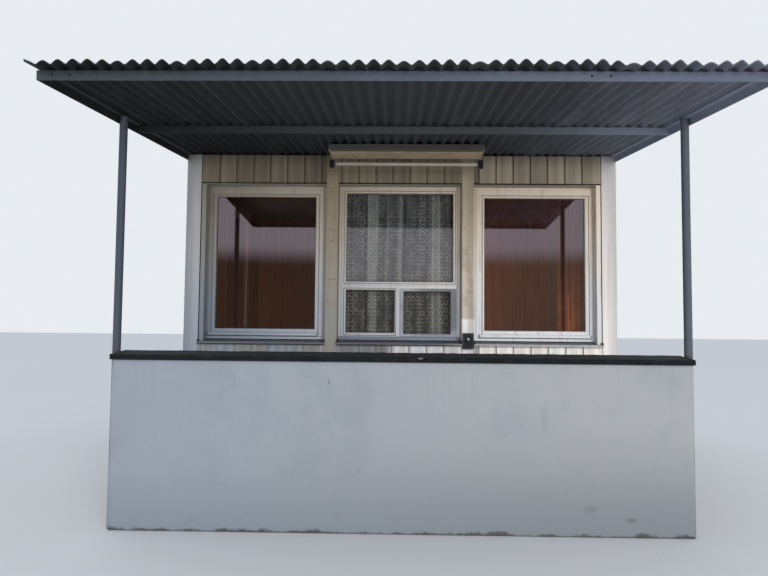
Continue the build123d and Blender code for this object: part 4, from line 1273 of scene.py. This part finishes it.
points, faces = rounded_shell((-wall_half, wall_front, 0.0), (wall_half, wall_back, wall_top),
                              wall_corner, wall_step, plaster_surface)
plaster_wall = piece_from("plastered_wall", points, faces, plaster, smooth=True)
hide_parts("low_wall")

# Coping: two lengths of rough dark concrete bedded on the low wall, with broken edges and
# one pale chip. Their top slopes to the front.
coping_half = 1.8072
coping_front, coping_back = -2.7055, -2.4705
coping_foot = wall_top
coping_step = 0.018
coping_joint = 0.02
coping = Finish("coping_concrete", 0.92)
coping_mottle = coping.cloudy(16.0, 6.0, 0.65)
coping.lay(coping.mixed(coping_mottle.grade(0.35, 0.7), (7, 12, 15), (17, 25, 29)))
coping.lay((92, 88, 80), coping.grains(150.0).grade(0.1, 0.3, 0.3, 0.0))
coping.lay((58, 62, 62), coping.facing()[2].grade(0.4, 0.9, 0.0, 0.3))
coping.lay((14, 14, 15), abs(coping.x + coping_joint).grade(0.002, 0.005, 0.8, 0.0))
coping.lay((118, 117, 114), spot_mark(coping, 0.125, 1.0715, 0.018, 0.0055, 0.5))
coping.relief(coping_mottle + coping.cloudy(120.0), 0.003)
coping_chips = [(0.3, 0.03, 0.010), (-1.2, 0.05, 0.006), (1.1, 0.04, 0.008), (-0.5, 0.06, 0.005),
                (1.62, 0.03, 0.009), (0.125, 0.03, 0.005)]
coping_section = [(coping_front, 0.0), (coping_front, 0.012), (coping_front, 0.024),
                  (coping_front + 0.003, 0.031), (coping_front + 0.012, 0.0338)]
coping_section += [(coping_front + 0.235 * share, 0.033 + 0.017 * share)
                   for share in (0.15, 0.3, 0.45, 0.6, 0.75, 0.88)]
coping_section += [(coping_back - 0.004, 0.049), (coping_back, 0.044), (coping_back, 0.022),
                   (coping_back, 0.0)]


def coping_ring(x):
    """The rough outline of the coping at a place along it."""
    ring = []
    for number, (y, rise) in enumerate(coping_section):
        z = coping_foot + rise
        rough = Vector((x * 26.0, y * 26.0, z * 26.0))
        dy = 0.0026 * noise.noise(rough) + 0.0012 * noise.noise(rough * 3.1)
        dz = 0.0024 * noise.noise(rough + Vector((9.0, 2.0, 5.0)))
        dz += 0.001 * noise.noise(rough * 2.7)
        if number in (2, 3, 4):
            for chip_x, chip_width, chip_depth in coping_chips:
                chipped = chip_depth * math.exp(-((x - chip_x) / chip_width) ** 2)
                dz -= chipped
                dy += 0.6 * chipped
        if number in (0, len(coping_section) - 1):
            dz = 0.0
        ring.append((x, y + dy, min(z + dz, coping_foot + 0.0515)))
    return ring


skins = []
for x0, x1 in ((-coping_half, -coping_joint - 0.0004), (-coping_joint + 0.0004, coping_half)):
    columns = round((x1 - x0) / coping_step)
    skins.append([coping_ring(x0 + (x1 - x0) * column / columns) for column in range(columns + 1)])
coping_slabs = skinned("coping_slabs", skins, coping, flip=True)
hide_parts("coping")

# Strip light: a folded sheet body under the canopy, grey in front and beige beneath, with one
# white tube between black lampholders on thin end brackets.
light_x, light_y, light_z = 0.044, -1.585, 2.566
light_half = 0.581
enamel = Finish("lamp_enamel", 0.5).mottled(9.0, (200, 178, 151), (178, 159, 135), (0.4, 0.7), 5.0)
# Painted shade: the thin step face between the grey front and the beige soffit is darker.
enamel.lay((104, 93, 78), enamel.y.grade(-1.6918, -1.6908, 1.0, 0.0))
enamel.lay(enamel.mixed(enamel.cloudy(12.0), (92, 92, 88), (78, 77, 72)),
           enamel.y.grade(-1.6985, -1.6965, 1.0, 0.0))
enamel.relief(enamel.cloudy(50.0), 0.0006)
enamel.coat("lamp_body", ease=0.0015)
holder_black = Finish("lamp_holder_black", 0.45).mottled(60.0, (13, 13, 14), (26, 26, 27))
holder_black.coat("lamp_holders", ease=0.004, segments=3)
bracket_paint = Finish("lamp_bracket_paint", 0.5).mottled(50.0, (84, 78, 68), (66, 61, 53))
bracket_paint.coat("lamp_brackets")
tube_white = Finish("lamp_tube_white", 0.25).mottled(6.0, (193, 186, 172), (169, 161, 147),
                                                     (0.4, 0.7), stretch=(0.4, 6.0, 6.0))
glass_tube = turned("strip_light_tube", [((light_x, light_y, light_z), (1, 0, 0))],
                    [(0.011, -light_half), (0.013, -light_half + 0.003),
                     (0.013, light_half - 0.003), (0.011, light_half)],
                    tube_white, 32)
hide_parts("lamp_tube")
cap_metal = Finish("tube_cap_metal", 0.35, 0.85).mottled(90.0, (168, 168, 166), (120, 118, 114))
cap_places = [((light_x + side * (light_half - 0.016), light_y, light_z), (side, 0, 0))
              for side in (-1, 1)]
turned("strip_light_caps", cap_places, [(0.0131, 0.0), (0.0137, 0.001), (0.0137, 0.0158)],
       cap_metal, 32)
